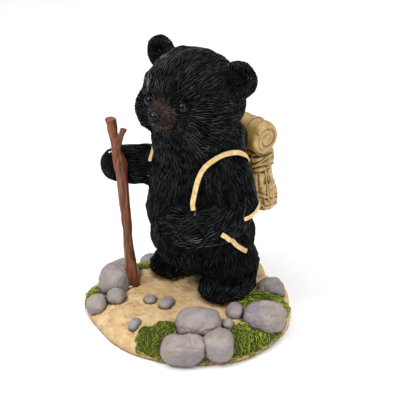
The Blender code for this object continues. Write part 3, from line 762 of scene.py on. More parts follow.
SOLES = 10.2 * MM
keep = roots[:, 2] > SOLES
for eye in EYES:
    keep &= distance(roots, eye) > EYE_RADIUS + 0.55 * MM
keep &= np.linalg.norm((roots - np.array(NOSE)) * (0.8, 1, 1.1), axis=1) > 3.0 * MM
for line, half in STRAP_LINES:
    gap = np.min([distance(roots, spot) for spot in line[::2]], axis=0)
    keep &= gap > half + 0.15 * MM
pack_low, pack_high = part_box("backpack")
behind = np.all((roots > np.array(pack_low) + 1.2 * MM) & (roots < np.array(pack_high) - 1.2 * MM), axis=1)
keep &= ~(behind & (facing[:, 1] > 0.4))
roots, facing = roots[keep], facing[keep]


def thinned(roots, facing, along, wide, long):
    """Keeps roots that are far enough apart, more so along the fur than across it."""
    tree = KDTree(len(roots))
    for number, root in enumerate(roots):
        tree.insert(root, number)
    tree.balance()
    across = np.cross(along, facing)
    kept = np.zeros(len(roots), bool)
    for number in chance.permutation(len(roots)):
        near = np.array([found[1] for found in tree.find_range(roots[number], long[number])])
        away = roots[near[kept[near]]] - roots[number]
        reach = (away @ across[number] / wide[number]) ** 2 + (away @ along[number] / long[number]) ** 2
        kept[number] = not np.any(reach < 1)
    return kept


def shortened(roots):
    """How short the fur is: full on the body, shorter round the eyes, muzzle and ears."""
    to_muzzle = distance(roots, head(0, -20, -3)) / MM
    to_eye = np.min([distance(roots, eye) for eye in EYES], axis=0) / MM
    to_ear = np.min([distance(roots, middle) for middle, _ in EARS], axis=0) / MM
    short = np.minimum(ramp(to_muzzle, 7, 22) * 0.6 + 0.4, ramp(to_eye, 2.5, 8) * 0.55 + 0.45)
    short = np.minimum(short, 0.85 + 0.15 * ramp(120 - roots[:, 2] / MM, 10, 22))
    to_paw = distance(roots, RIGHT_ARM[-1]) / MM
    short = np.minimum(short, 0.6 + 0.4 * np.minimum(ramp(to_paw, 9, 16), ramp(roots[:, 2] / MM, 12, 20)))
    return short * (0.48 + 0.52 * ramp(to_ear, 9.5, 13))


APART_ACROSS, APART_ALONG = 1.12 * MM, 2.7 * MM
short = shortened(roots)
wide = APART_ACROSS * (0.5 + 0.5 * short)
keep = thinned(roots, facing, fur_flow(roots, facing), wide, APART_ALONG * short)
roots, facing, short = roots[keep], facing[keep], short[keep]
print("locks:", len(roots))

# %% Grow the locks
LOCK_LENGTH, LOCK_WIDTH, LOCK_HEIGHT, LOCK_LIFT = 5.6 * MM, 1.35 * MM, 1.15 * MM, 0.15 * MM
CHIPPED_SHARE = 0.004
NECK = 101 * MM
along = fur_flow(roots, facing)
brown = brown_share(roots)
twist = chance.normal(0, 0.13, len(roots))[:, None]
along = unit(along + np.cross(facing, along) * twist)
feet = 1 - ramp(roots[:, 2], 14 * MM, 20 * MM)
cup = ear_cups(roots)
length = LOCK_LENGTH * short * chance.uniform(0.8, 1.25, len(roots))
width = LOCK_WIDTH * (0.45 + 0.55 * short) * chance.uniform(0.85, 1.2, len(roots))
height = LOCK_HEIGHT * (0.35 + 0.65 * short) * (1 - 0.5 * cup)
lift = LOCK_LIFT * short * chance.uniform(-1.0, 2.0, len(roots)) + 0.05 * MM * feet
drop, length = dropped(skin_tree, roots, facing, along, length)
bend = chance.normal(0, 0.06, len(roots))
shade = np.clip(0.5 + 0.35 * ripple(roots, 5 * MM, 4) + chance.normal(0, 0.25, len(roots)), 0, 1)
# Painted shade: locks are darker in the ear cups and low on the body, paler towards the head.
shade *= (1 - 0.85 * cup) * (0.38 + 0.62 * ramp(roots[:, 2], 70 * MM, 112 * MM))
# Painted shade in the crease round the left forearm, and painted light on the forearm itself.
to_arm, _ = near_line(roots, LEFT_ARM)
painted_crease_shade = np.exp(-((to_arm / MM - 12.8) / 1.3) ** 2) * (roots[:, 2] < 66 * MM)
shade *= (1 - 0.9 * painted_crease_shade) * (1 + 1.1 * (1 - ramp(to_arm, 9 * MM, 12 * MM)))
chips = np.where(chance.random(len(roots)) < CHIPPED_SHARE, chance.uniform(0.1, 0.35, len(roots)), 0.0)
# The muzzle's brown follows the same tone, painted light and shade included.
brown = np.clip(brown + 0.35 * (brown > 0.2) * (shade - 0.5), 0, 1)
upper = roots[:, 2] > NECK
for name, chosen in (("fur_head", upper), ("fur_body", ~upper)):
    tables = (roots, facing, along, length, width, height, lift, drop, bend)
    locks = plant(name, *(table[chosen] for table in tables))
    for label, values in (("shade", shade), ("brown", brown), ("chip", chips)):
        note(locks, label, per_point(values[chosen]))
    complete(locks, LOCK_PAINT)
    print(name, len(locks.data.polygons), "triangles")

# %% [markdown]
# ## Eyes, nose and muzzle
#
# The eyes are glossy beads half sunk in their sockets, each under a thin lid, and
# the nose is a small glossy wedge with two nostrils. The muzzle's skin needs finer
# cells than the rest, because its mouth line is less than a millimetre wide, so a
# piece of the skin is cut out with a ball, remeshed finely and carved.

# %% Glossy black for eyes, nose and lids
def glossy(name, paint, roughness, coat):
    """A smooth, varnished paint with faint dust in it."""
    made, tree, shader = new_material(name, roughness, 0.0, coat)
    shader.inputs["Coat Roughness"].default_value = roughness
    place = place_in(tree)
    cloud = noise_at(tree, place, 700.0, 3.0)
    dusty = (*(value * 1.8 for value in paint[:3]), 1)
    shades = mixed(tree, stretched(tree, cloud, 0.35, 0.7), paint, dusty)
    rough = stretched(tree, cloud, 0.3, 0.7, roughness, roughness + 0.1)
    feed(tree, shader, Base_Color=shades, Roughness=rough)
    return made


EYE_PAINT = glossy("eye_gloss", colour(6, 6, 8), 0.05, 0.5)
NOSE_PAINT = glossy("nose_gloss", colour(10, 10, 12), 0.22, 0.45)
LID_PAINT = glossy("lid_black", colour(9, 9, 10), 0.35, 0.12)


# %% Set the eyes under their lids
LID_THICKNESS = 0.5 * MM


def facing_along(way):
    """The turn that points an upright primitive along a direction."""
    return way.to_track_quat("Z", "Y").to_euler()


for eye, side, label in zip(EYES, (1, -1), ("left", "right")):
    outwards = (HEAD_TURNED @ Vector((side * 0.38, -1, 0.08))).normalized()
    bpy.ops.mesh.primitive_uv_sphere_add(segments=40, ring_count=24, radius=EYE_RADIUS, location=eye,
                                         rotation=facing_along(outwards))
    complete(settle(bpy.context.object, "eye_" + label), EYE_PAINT)
    bpy.ops.mesh.primitive_torus_add(major_segments=48, minor_segments=12, major_radius=EYE_RADIUS * 0.97,
                                     minor_radius=LID_THICKNESS, location=eye + outwards * 0.55 * MM,
                                     rotation=facing_along(outwards))
    lid = settle(bpy.context.object, "lid_" + label)
    rows = points_of(lid)
    height_up = (rows - np.array(eye)) @ np.array(HEAD_TURNED @ Vector((0, 0, 1))) / EYE_RADIUS
    rows += np.outer(ramp(height_up, 0.1, 1.0) * 0.55 * MM, np.array(outwards))
    rows += np.outer(ripple(rows, 1.1 * MM, 5) * 0.12 * MM, np.array(outwards))
    move_points(lid, rows)
    complete(lid, LID_PAINT)
    print("eye and lid,", label, "at", [round(value / MM, 1) for value in eye])

# %% Cut out the muzzle and carve the mouth
muzzle = in_scene("muzzle", skin.data.copy())
for label in ("flow", "brown", "shade"):
    muzzle.data.attributes.remove(muzzle.data.attributes[label])
bpy.ops.mesh.primitive_ico_sphere_add(subdivisions=4, radius=1)
half = Vector((12.5, 12, 12)) * MM
cutter = shaped(bpy.context.object, "cutting_ball", head(0, -20, -6.5), HEAD_TURNED, half)
finish_modifier(muzzle, "BOOLEAN", operation="INTERSECT", object=cutter, solver="EXACT")
bpy.data.objects.remove(cutter)
fine_skin(muzzle, 0.38 * MM, 6)

MOUTH = [[(0, -3.0), (0, -6.2)]]
MOUTH += [[(0, -6.2), (side * 2.2, -7.3), (side * 4.6, -7.2), (side * 6.6, -5.8)] for side in (1, -1)]


def to_lines(spots, lines):
    """How far flat spots are from a set of bent lines."""
    best = np.full(len(spots), 99.0)
    for line in lines:
        for start, end in zip(line, line[1:]):
            start, along = np.array(start), np.array(end) - np.array(start)
            share = np.clip((spots - start) @ along / (along @ along), 0, 1)
            best = np.minimum(best, np.linalg.norm(spots - start - share[:, None] * along, axis=1))
    return best


rows, ways = surface_of(muzzle)
local = on_head(rows)
front = ramp(-local[:, 1], 15, 20)
to_mouth = to_lines(local[:, [0, 2]], MOUTH)
groove = (1 - ramp(to_mouth, 0.15, 0.85)) * front
lips = np.exp(-((to_mouth - 1.5) / 0.7) ** 2) * front
rows += ways * ((0.08 - 0.95 * groove + 0.22 * lips) * MM)[:, None]
move_points(muzzle, rows)
note(muzzle, "flow", fur_flow(rows, ways))
note(muzzle, "brown", brown_share(rows) * (1 - groove) * 0.9)
note(muzzle, "shade", 0.35 + 0.6 * ripple(rows, 1.2 * MM, 3))
complete(muzzle, SKIN_PAINT)
print("muzzle:", len(muzzle.data.polygons), "faces")

# %% Shape the nose
bpy.ops.mesh.primitive_uv_sphere_add(segments=48, ring_count=32, radius=1)
nose = shaped(bpy.context.object, "nose", NOSE, HEAD_TURNED, Vector((3.5, 2.4, 2.5)) * MM)
rows, ways = surface_of(nose)
local = on_head(rows, NOSE)
taper = 1 - 0.30 * ramp(-local[:, 2], -1.5, 2.5)
across = np.array(HEAD_TURNED @ Vector((1, 0, 0)))
rows += np.outer(local[:, 0] * (taper - 1) * MM, across)
for side in (1, -1):
    hole = np.linalg.norm((local - (side * 1.45, -1.9, -0.35)) * (1, 0.7, 1.3), axis=1)
    rows -= ways * ((1 - ramp(hole, 0.2, 0.95)) * 0.75 * MM)[:, None]
split = (1 - ramp(np.abs(local[:, 0]), 0.05, 0.4)) * ramp(-local[:, 2], 0.2, 1.2)
rows -= ways * (split * 0.4 * MM)[:, None]
move_points(nose, rows)
complete(nose, NOSE_PAINT)
print("nose:", len(nose.data.polygons), "faces")

# %% [markdown]
# ## Claws
#
# Two pale claw tips show where the right paw closes round the stick. A claw is a bent
# cone: a cone is added, cut across, and its rings are shifted along an arc. A
# sighting from the camera finds the place on the paw where the real claws are seen.

# %% Sight a place from the camera
def sighting(across, down):
    """The direction in which the camera sees a place of its picture."""
    return (aside(across, down) - backwards).normalized()


STEP_LEFT = 0.4


def seen_on(tree, across, down):
    """The place and facing of the surface seen there, or a little to the left of it."""
    place, way, *_ = tree.ray_cast(camera_place, sighting(across, down))
    return (place, way) if place is not None else seen_on(tree, across - STEP_LEFT, down)


CLAW_PAINT = glossy("claw_cream", colour(214, 196, 160), 0.35, 0.1)


def claw(name, root, way, bend_way, long, thick):
    """A short bent claw that grows from a root along a direction."""
    bpy.ops.mesh.primitive_cone_add(vertices=16, radius1=thick, radius2=thick * 0.18, depth=long,
                                    location=(0, 0, long / 2))
    thing = settle(bpy.context.object, name)
    for cut in (0.25, 0.5, 0.75):
        on_whole_mesh(thing, lambda: bpy.ops.mesh.bisect(plane_co=(0, 0, long * cut), plane_no=(0, 0, 1)))
    turn = way.to_track_quat("Z", "Y").to_matrix()
    rows = points_of(thing)
    bent = (rows[:, 2] / long) ** 2 * long * 0.45
    rows = rows @ np.array(turn).T + np.array(root) + np.outer(bent, np.array(bend_way))
    move_points(thing, rows)
    finish_modifier(thing, "SUBSURF", levels=1, render_levels=1)
    return thing


for number, (across, down) in enumerate(((110.6, 148.6), (110.8, 152.2))):
    spot, facing_out = seen_on(skin_tree, across, down)
    way = (facing_out * 0.7 + rightwards * 0.8).normalized()
    root = spot + facing_out * 0.5 * MM - way * 1.2 * MM
    made = claw(f"claw_{number}", root, way, -facing_out, 3.0 * MM, 0.7 * MM)
    complete(made, CLAW_PAINT)
    print(made.name, "at", [round(value / MM, 1) for value in root])

# %% [markdown]
# ## Painted canvas and straps
#
# Straps, pack and bedroll are one family of tan paints over carved canvas, with a
# brown wash that the painter wiped off the high places. The same brown is also
# painted shade: it darkens every hollow and every place where pieces meet, by how
# little light reaches it. How hollow a place is comes from the shader's ambient
# occlusion, measured over a millimetre or two, and from what was carved there. The
# shared paint group does the rest.

# %% Mix the canvas paints
def sheltered(tree, reach, open_at, closed_at):
    """How little light reaches a place from around it: 0 in the open and 1 in a hollow."""
    light = add_node(tree, "ShaderNodeAmbientOcclusion", {"samples": 8}, {"Distance": reach * MM})
    return stretched(tree, light.outputs["AO"], open_at, closed_at)


def painted(tree, colours, mottle_scale, grain_scale, grain, hollow):
    """The paint group placed in a material with two paints, a wash and its own scales."""
    paints = tree.nodes.new("ShaderNodeGroup")
    paints.node_tree = bpy.data.node_groups["painted_resin"]
    labels = ("Paint", "Second paint", "Wash and shade", "Mottle scale", "Grain scale", "Grain")
    values = (*(colour(*each) for each in colours), mottle_scale, grain_scale, grain)
    for label, value in zip(labels, values):
        paints.inputs[label].default_value = value
    tree.links.new(place_in(tree), paints.inputs["Place"])
    tree.links.new(hollow, paints.inputs["Hollow"])
    return paints.outputs


def washed_and_shaded_paint(name, colours, roughness, scales, hollow, relief=0.06, coat=0.0):
    """Painted resin with a wash and painted shade in its hollows, which are measured over a reach."""
    made, tree, shader = new_material(name, roughness, 0.5, coat)
    # Painted shade: ambient occlusion darkens hollows and seams between pieces with the wash colour; carved
    # grooves add the real wash.
    hollows = maths(tree, "ADD", sheltered(tree, *hollow), stored(tree, "carved"))
    paints = painted(tree, colours, *scales, hollows)
    rough = maths(tree, "ADD", paints["Roughness"], roughness)
    relief = bumped(tree, paints["Height"], relief * MM)
    feed(tree, shader, Base_Color=paints["Colour"], Roughness=rough, Normal=relief)
    return made


STRAP_PAINT = washed_and_shaded_paint("strap_cream", ((244, 216, 160), (220, 180, 114), (120, 78, 36)),
                           0.5, (420.0, 1400.0, 0.22), (1.1, 1.0, 0.45))
CANVAS_PAINT = washed_and_shaded_paint("pack_canvas", ((208, 172, 102), (170, 134, 72), (84, 58, 24)),
                            0.34, (260.0, 1300.0, 0.16), (2.2, 0.95, 0.4), 0.05, 0.45)
for strap in STRAPS:
    complete(strap, STRAP_PAINT)
print("paints:", STRAP_PAINT.name, CANVAS_PAINT.name)

# %% [markdown]
# ## The backpack
#
# The pack's solid has its blocks already: body, flap, pockets and roll. A fine skin
# over it takes soft folds, and the tool's grooves and swellings are pressed into it
# along lines that the photograph shows: the gathers under the roll, the flap's edge,
# the tube pocket and the bottom. Cords, a stud with its tab and beads lie on top. The
# far side gets the same mirrored, and the back plainer ones.

# %% Fold the canvas
pack = fine_skin(solid_copy("backpack", "pack_body"), 0.42 * MM, 6)
rows, ways = surface_of(pack)
PACK_MIDDLE = figure(-8, 44.3, 57.6)
PACK_TURNED = Matrix.Rotation(math.radians(9), 3, "X")
ROLL_MIDDLE = PACK_MIDDLE + PACK_TURNED @ (Vector((0, 0, 27.55)) * MM)
ROLL_RADIUS, ROLL_HALF = 8.6, 22.5
local = (rows - np.array(PACK_MIDDLE)) @ np.array(PACK_TURNED) / MM
on_body = 1 - ramp(local[:, 2], 18, 21)
folds = noise_rows(local / (3.2, 3.2, 7.5))
creases = np.abs(noise_rows(local / (6, 6, 3.4) + (0, 0, 9)))
roll_folds = noise_rows(local / (2.6, 7, 7) + (0, 0, 4))
raised = (0.5 * folds - 0.35 * (1 - ramp(creases, 0.0, 0.16))) * on_body + 0.3 * roll_folds * (1 - on_body)
rows += ways * (raised * MM)[:, None]
move_points(pack, rows)
pack_tree = BVHTree.FromObject(pack, bpy.context.evaluated_depsgraph_get())
print("pack:", len(pack.data.polygons), "faces")

# %% Press in what the photograph shows
# Each row has marks in the photograph, how far out (below zero: in), and how wide.
PRESSED = (
    ([(249, 155.6), (257, 156.8), (265, 155.6), (272, 152.6)], -1.0, 0.75),
    ([(251.5, 159.4), (259, 158.6), (267, 156), (273, 153.4)], 0.45, 0.7),
    ([(252, 163.6), (259.5, 162.6), (266.7, 159.6), (273, 156.4)], -0.65, 0.5),
    ([(252, 166), (259.5, 164.9), (267, 162.6), (273, 159.6)], 0.45, 0.6),
    ([(252.5, 168.3), (260, 167.2), (267, 165.4), (273.4, 162.8)], -0.75, 0.5),
    ([(252.6, 173), (259.5, 172.6), (265.4, 171.6)], -0.9, 0.5),
    ([(252.8, 171), (259.5, 170.4), (265, 169.6)], 0.4, 0.7),
    ([(265.4, 171.4), (267, 178.5), (268, 189.7), (269.9, 202.6)], -0.8, 0.45),
    ([(257.6, 174), (258.2, 183), (259, 191.5)], -0.55, 0.45),
    ([(261.5, 175), (262, 183), (262.6, 191.5)], 0.5, 1.0),
    ([(272.4, 164), (273, 172), (274, 180), (276, 187.3)], -0.6, 0.45),
    ([(257.6, 192.6), (262.7, 194.2), (268, 194.8)], -0.7, 0.45),
    ([(258, 195), (263, 196.6), (269, 197), (277, 194.2)], 0.4, 0.6),
    ([(258.7, 197.4), (263.5, 198.9), (269, 199), (277, 196.2)], -0.7, 0.45),
    ([(260, 202.6), (265, 206.1), (271.5, 205), (276, 201.3)], -0.6, 0.45),
    ([(262, 199.5), (263, 203.5)], -0.4, 0.4),
)
rows, ways = surface_of(pack)
folded = rows.copy()
folded[:, 0] = PACK_MIDDLE.x + np.abs(rows[:, 0] - PACK_MIDDLE.x)
carved = np.zeros(len(rows))
for marks, depth, wide in PRESSED:
    line = smooth_curve([seen_on(pack_tree, *mark)[0] for mark in marks], 6)
    away, _ = near_line(folded, line)
    press = np.exp(-(away / (wide * MM)) ** 2)
    rows += ways * (depth * MM * press)[:, None]
    carved = np.maximum(carved, press * max(0.0, -depth)) if depth < 0 else carved - 0.4 * press * depth
move_points(pack, rows)
note(pack, "carved", np.clip(carved, -0.3, 0.7))
complete(pack, CANVAS_PAINT)
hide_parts("backpack")
print("pressed lines:", len(PRESSED))

# %% Cords, beads and copies for the other side
def cord(name, places, radius, sides=3):
    """A round cord through the given places, closed at both ends."""
    curve = bpy.data.curves.new(name, "CURVE")
    curve.dimensions = "3D"
    curve.bevel_depth = radius
    curve.bevel_resolution = sides
    curve.use_fill_caps = True
    spline = curve.splines.new("POLY")
    spline.points.add(len(places) - 1)
    for point, place in zip(spline.points, places):
        point.co = (*place, 1)
    only(in_scene(name, curve))
    bpy.ops.object.convert(target="MESH")
    return settle(bpy.context.object, name)


def laid_on_pack(marks, lift, steps=8):
    """A smooth line through sighted marks, laid on the pack's side."""
    curve = smooth_curve([seen_on(pack_tree, *mark)[0] for mark in marks], steps)
    hits = [pack_tree.find_nearest(place) for place in curve]
    spots = softened([hit[0] + hit[1] * lift for hit in hits], 2)
    return spots, [hit[1] for hit in hits]


def beads(name, spots, ways, long, thick, slant, every):
    """A row of small stitches or beads along a line, each a stretched ball."""
    made = []
    gone = every
    for before, spot, way in zip(spots, spots[1:], ways[1:]):
        gone += (spot - before).length
        if gone < every:
            continue
        gone = 0.0
        along = (spot - before).normalized()
        side = along.cross(way).normalized()
        along = (along * math.cos(slant) + side * math.sin(slant)).normalized()
        side = along.cross(way).normalized()
        turn = Matrix((along, side, along.cross(side))).transposed()
        bpy.ops.mesh.primitive_ico_sphere_add(subdivisions=2, radius=1)
        made.append(shaped(bpy.context.object, "bead", spot, turn, (long, thick, thick)))
    return joined(made, name)


def with_mirrored(pieces):
    """Pieces, and copies of them on the pack's other side, turned right side out again."""
    copies = [in_scene(piece.name + "_right", piece.data.copy()) for piece in pieces]
    for copy in copies:
        rows = points_of(copy)
        rows[:, 0] = 2 * PACK_MIDDLE.x - rows[:, 0]
        move_points(copy, rows)
        on_whole_mesh(copy, bpy.ops.mesh.flip_normals)
    return pieces + copies


def in_canvas(pieces):
    """Gives pieces of the pack their canvas paint, and prints their names."""
    for piece in pieces:
        complete(piece, CANVAS_PAINT)
    print("in canvas:", [piece.name for piece in pieces])


# %% Sew the side that shows, and its mirror
flap_line = laid_on_pack([(252.2, 166.5), (257, 164.2), (262.5, 160.6), (267.5, 157.4)], 0.2 * MM)
seam_line = laid_on_pack([(264.6, 170), (265.8, 176), (266.8, 184), (267.6, 193), (268.8, 202)], 0.1 * MM)
bead_line = laid_on_pack([(270.2, 175.6), (270.4, 179), (270.2, 183.2)], 0.15 * MM, 6)
in_canvas(with_mirrored([
    beads("flap_cord", *flap_line, 0.85 * MM, 0.5 * MM, 0.6, 0.75 * MM),
    cord("side_seam", seam_line[0], 0.6 * MM),
    beads("side_beads", *bead_line, 0.62 * MM, 0.55 * MM, 0.0, 1.45 * MM)]))

# %% Fix the studs with their tabs
def stud(name, place, way, size):
    """A round stud with a sunk middle, made from a ring and a dished disc."""
    turn = facing_along(way)
    bpy.ops.mesh.primitive_torus_add(major_segments=32, minor_segments=12, major_radius=size * 0.68,
                                     minor_radius=size * 0.34, location=place, rotation=turn)
    ring = settle(bpy.context.object, "ring")
    bpy.ops.mesh.primitive_uv_sphere_add(segments=24, ring_count=12, radius=size * 0.62,
                                         location=place - way * size * 0.62, rotation=turn)
    return joined([ring, settle(bpy.context.object, "dish")], name)


def on_back(across, up):
    """The place and facing of the pack's back, seen from behind its middle."""
    spot = PACK_MIDDLE + PACK_TURNED @ (Vector((across, 30, up)) * MM)
    return pack_tree.ray_cast(spot, PACK_TURNED @ Vector((0, -1, 0)))[:2]


BACK_SIDES = ((-9, "right"), (9, "left"))
place, way = seen_on(pack_tree, 268.2, 165.4)
side_stud = stud("side_stud", place + way * 0.2 * MM, way, 1.3 * MM)
place, way = seen_on(pack_tree, 268.8, 170.2)
bpy.ops.mesh.primitive_uv_sphere_add(segments=24, ring_count=16, radius=1)
half = Vector((0.95, 1.5, 0.7)) * MM
side_tab = shaped(bpy.context.object, "side_tab", place, facing_along(way).to_matrix(), half)
studs = with_mirrored([side_stud, side_tab])
for across, label in BACK_SIDES:
    place, way = on_back(across, 11)
    studs.append(stud("back_stud_" + label, place + way * 0.1 * MM, way, 1.5 * MM))
in_canvas(studs)

# %% Finish the back with straps and a pocket seam
POCKET_HALF_WIDTH, POCKET_HALF_HEIGHT, POCKET_LOWERED = 10.2, 7.4, 6


def squared(share):
    """A circle's coordinate pushed out, so that the circle becomes a rounded square."""
    return math.copysign(abs(share) ** 0.45, share)


back_pieces = []
for across, label in BACK_SIDES:
    line = [on_back(across, float(up)) for up in np.linspace(13, -14, 20)]
    ways = [way.normalized() for way in softened([hit[1] for hit in line], 6)]
    spots = softened([hit[0] for hit in line])
    back_pieces.append(band("back_strap_" + label, spots, ways, 3.0 * MM, 0.7 * MM, 0.9 * MM))
outline = []
for turn in np.linspace(0, math.tau, 48, endpoint=False):
    place, way = on_back(POCKET_HALF_WIDTH * squared(math.cos(turn)),
                         POCKET_HALF_HEIGHT * squared(math.sin(turn)) - POCKET_LOWERED)
    outline.append(place + way * 0.05 * MM)
back_pieces.append(cord("pocket_seam", outline + outline[:1], 0.4 * MM))
in_canvas(back_pieces)

# %% Roll the mat's ends and tie it
SPIRAL_OUTER, SPIRAL_INNER, SPIRAL_STEP = 7.3, 0.7, 2.75
mat_pieces = []
for side, label in ((1, "left"), (-1, "right")):
    spots = []
    for turn in np.linspace(0, math.tau * 2.35, 90):
        turns = turn / math.tau
        radius = SPIRAL_OUTER - SPIRAL_STEP * turns
        if radius < SPIRAL_INNER:
            break
        angle = turn * side + 0.6
        spots.append(ROLL_MIDDLE + MM * Vector((side * (ROLL_HALF - 0.35 - 0.2 * turns),
                                                -radius * math.cos(angle), radius * math.sin(angle))))
    mat_pieces.append(cord("mat_spiral_" + label, spots, 1.2 * MM, 5))
for across, label in ((-13, "right"), (12.5, "left")):
    ways = [Vector((0, math.cos(turn), math.sin(turn))) for turn in np.linspace(0, math.tau, 49)]
    spots = [ROLL_MIDDLE + MM * (Vector((across + 0.5 * way.z, 0, 0)) + way * (ROLL_RADIUS + 0.02))
             for way in ways]
    mat_pieces.append(band("mat_tie_" + label, spots, ways, 2.2 * MM, 0.55 * MM, 1.0 * MM))
in_canvas(mat_pieces)

# %% [markdown]
# ## The walking stick
#
# The stick is a peeled branch: reddish brown, with long grain grooves, darker
# streaks and knots. Its solid gives the crooked run and the cut fork, whose stub is
# thickened with a cone. A fine skin joins them and takes the grooves, which are noise
# stretched about nine times along the stick.

# %% Carve the grain
stub_foot, stub_tip = figure(-34.3, -18.6, 79.5), figure(-31.9, -15.6, 90.6)
stub_way = stub_tip - stub_foot
bpy.ops.mesh.primitive_cone_add(vertices=14, radius1=2.0 * MM, radius2=1.45 * MM, depth=stub_way.length,
                                location=(stub_foot + stub_tip) / 2, rotation=facing_along(stub_way))
stub = settle(bpy.context.object, "stub", smooth=False)
stick = fine_skin(joined([solid_copy("walking_stick", "stick"), stub], "stick"), 0.36 * MM, 4)
rows, ways = surface_of(stick)
grain = noise_rows(rows / MM / (1.3, 1.3, 11))
fine = noise_rows((rows / (0.6, 0.6, 6) + (0, 0, 5)) / MM)
lumps = ripple(rows, 5 * MM, 2)
rows += ways * ((0.30 * grain + 0.12 * fine + 0.35 * lumps) * MM)[:, None]
move_points(stick, rows)
note(stick, "grain", 0.5 + grain)

# %% Paint the wood in streaks
made, tree, shader = new_material("stick_paint", 0.5, 0.5)
place = place_in(tree)
along_stick = add_node(tree, "ShaderNodeMapping", {}, {"Vector": place, "Scale": (1, 1, 0.09)}).outputs[0]
streaks = noise_at(tree, along_stick, 1100.0, 3.0, 0.6)
patches = noise_at(tree, place, 110.0, 2.0)
red = mixed(tree, stretched(tree, patches, 0.35, 0.65), colour(138, 80, 46), colour(114, 58, 30))
dark = maths(tree, "SUBTRACT", 1.0, stretched(tree, stored(tree, "grain"), 0.05, 0.6))
for mask, most, paint in ((dark, 0.75, (58, 26, 16)),
                          (stretched(tree, streaks, 0.52, 0.7), 0.6, (70, 32, 20)),
                          (stretched(tree, streaks, 0.42, 0.28), 0.35, (170, 110, 78))):
    red = mixed(tree, maths(tree, "MULTIPLY", mask, most), red, colour(*paint))
feed(tree, shader, Base_Color=red, Roughness=stretched(tree, streaks, 0.3, 0.7, 0.42, 0.62),
     Normal=bumped(tree, streaks, 0.12 * MM))
complete(stick, made)
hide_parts("walking_stick")
print("stick:", len(stick.data.polygons), "faces")

# %% Leave the spot of glue at its foot
# The glue is darkened with its wash colour where the stick and the sand shelter it: painted shade.
GLUE = washed_and_shaded_paint("glue_white", ((238, 232, 214), (222, 210, 184), (170, 150, 120)),
                    0.4, (500.0, 1600.0, 0.1), (0.8, 0.9, 0.3))
SAND_LEVEL = 9.0
rows = points_of(stick)
foot_of_stick = rows[rows[:, 2] < 10 * MM].mean(0) / MM
bpy.ops.mesh.primitive_uv_sphere_add(segments=40, ring_count=16, radius=1)
place = Vector((foot_of_stick[0] - 1.5, foot_of_stick[1] - 1.4, SAND_LEVEL)) * MM
glue = shaped(bpy.context.object, "glue_spot", place, Matrix.Identity(3), Vector((3.6, 3.2, 0.75)) * MM)
rows, ways = surface_of(glue)
move_points(glue, rows + ways * (ripple(rows, 1.5 * MM, 8) * 0.8 * MM)[:, None] * (1, 1, 0.2))
complete(glue, GLUE)
print("glue:", len(glue.data.polygons), "faces")

# %% [markdown]
# ## The ground: sand
#
# The base is a slab of modelled sand, smoothed by the sculptor's thumb, with
# shallow dents and fine grain. The solid's skin is remeshed finely, dented with
# noise of three sizes, and painted cream with brown in the dents, and with painted
# shade in the hollows round the feet, the rocks and the stick. Where a rock stands,
# the sand round its foot is sunk and painted dark grey-brown as painted shade. Where
# turf grows, the same skin is painted dark green, darker than the blades as painted
# shade between them, so that no sand shines between the blades.

# %% Lay out the rocks and the turf
GROUND = 55 * MM
GROUND_SHIFT = Vector((0, -3.5, 0)) * MM
ROCK_SQUARENESS = 2.5
ROCKS = (
    ((-0.680, -0.375), (0.245, 0.165, 0.160), -62),
    ((-0.505, -0.757), (0.102, 0.119, 0.082), 50),
    ((-0.439, -0.578), (0.094, 0.099, 0.075), 50),
    ((0.452, -0.272), (0.211, 0.189, 0.160), 50),
    ((0.580, -0.565), (0.206, 0.140, 0.140), 50),
    ((0.735, -0.290), (0.143, 0.164, 0.124), 50),
    ((0.492, 0.138), (0.078, 0.102, 0.076), 50),
    ((0.597, -0.049), (0.058, 0.062, 0.050), 50),
    ((0.733, 0.292), (0.199, 0.154, 0.140), 50),
    ((0.414, 0.683), (0.135, 0.118, 0.101), 50),
    ((-0.800, 0.120), (0.110, 0.080, 0.060), 70),
    ((-0.330, 0.690), (0.150, 0.120, 0.110), 15),
    ((-0.188, -0.352), (0.057, 0.062, 0.042), 50),
    ((-0.038, -0.267), (0.060, 0.092, 0.048), 25),
    ((0.028, -0.696), (0.050, 0.081, 0.040), 35),
)
TURF = (
    ((-0.700, -0.620), 0.100),
    ((-0.660, -0.720), 0.090),
    ((-0.720, -0.030), 0.085),
    ((0.270, -0.520), 0.110),
    ((0.260, -0.690), 0.130),
    ((0.380, -0.820), 0.130),
    ((0.780, -0.010), 0.130),
    ((0.900, 0.080), 0.130),
    ((0.930, -0.120), 0.140),
    ((0.890, -0.310), 0.130),
    ((0.840, -0.450), 0.110),
    ((0.930, 0.270), 0.110),
    ((0.450, 0.340), 0.110),
    ((0.400, 0.500), 0.110),
    ((0.490, 0.590), 0.110),
    ((0.620, 0.560), 0.120),
    ((-0.120, 0.730), 0.140),
    ((-0.600, 0.470), 0.140),
)

# %% Find where the rocks and the turf lie
def rock_frames():
    """Each rock's middle, turn and half widths; its crest lies on the solid's own rock."""
    solid = solid_copy("base", "probe")
    tree = BVHTree.FromObject(solid, bpy.context.evaluated_depsgraph_get())
    bpy.data.objects.remove(solid)
    for middle, half, degrees in ROCKS:
        half = Vector(half) * GROUND
        place = Vector((*middle, 0)) * GROUND + GROUND_SHIFT
        crest = tree.ray_cast(Vector((place.x, place.y, 60 * MM)), Vector((0, 0, -1)))[0].z
        place.z = crest - half.z * 0.97
        yield place, Matrix.Rotation(math.radians(degrees), 3, "Z"), half


def turf_depth(table):
    """How deep inside a patch of turf each place is, from 0 outside to 1."""
    flat = (table - np.array(GROUND_SHIFT))[:, :2] / GROUND
    best = np.zeros(len(table))
    edge = 0.16 * ripple(np.c_[table[:, :2], np.zeros(len(table))], 2.6 * MM, 6)
    for middle, reach in TURF:
        best = np.maximum(best, np.clip((1.15 - distance(flat, middle) / reach + edge) * 4, 0, 1))
    return best


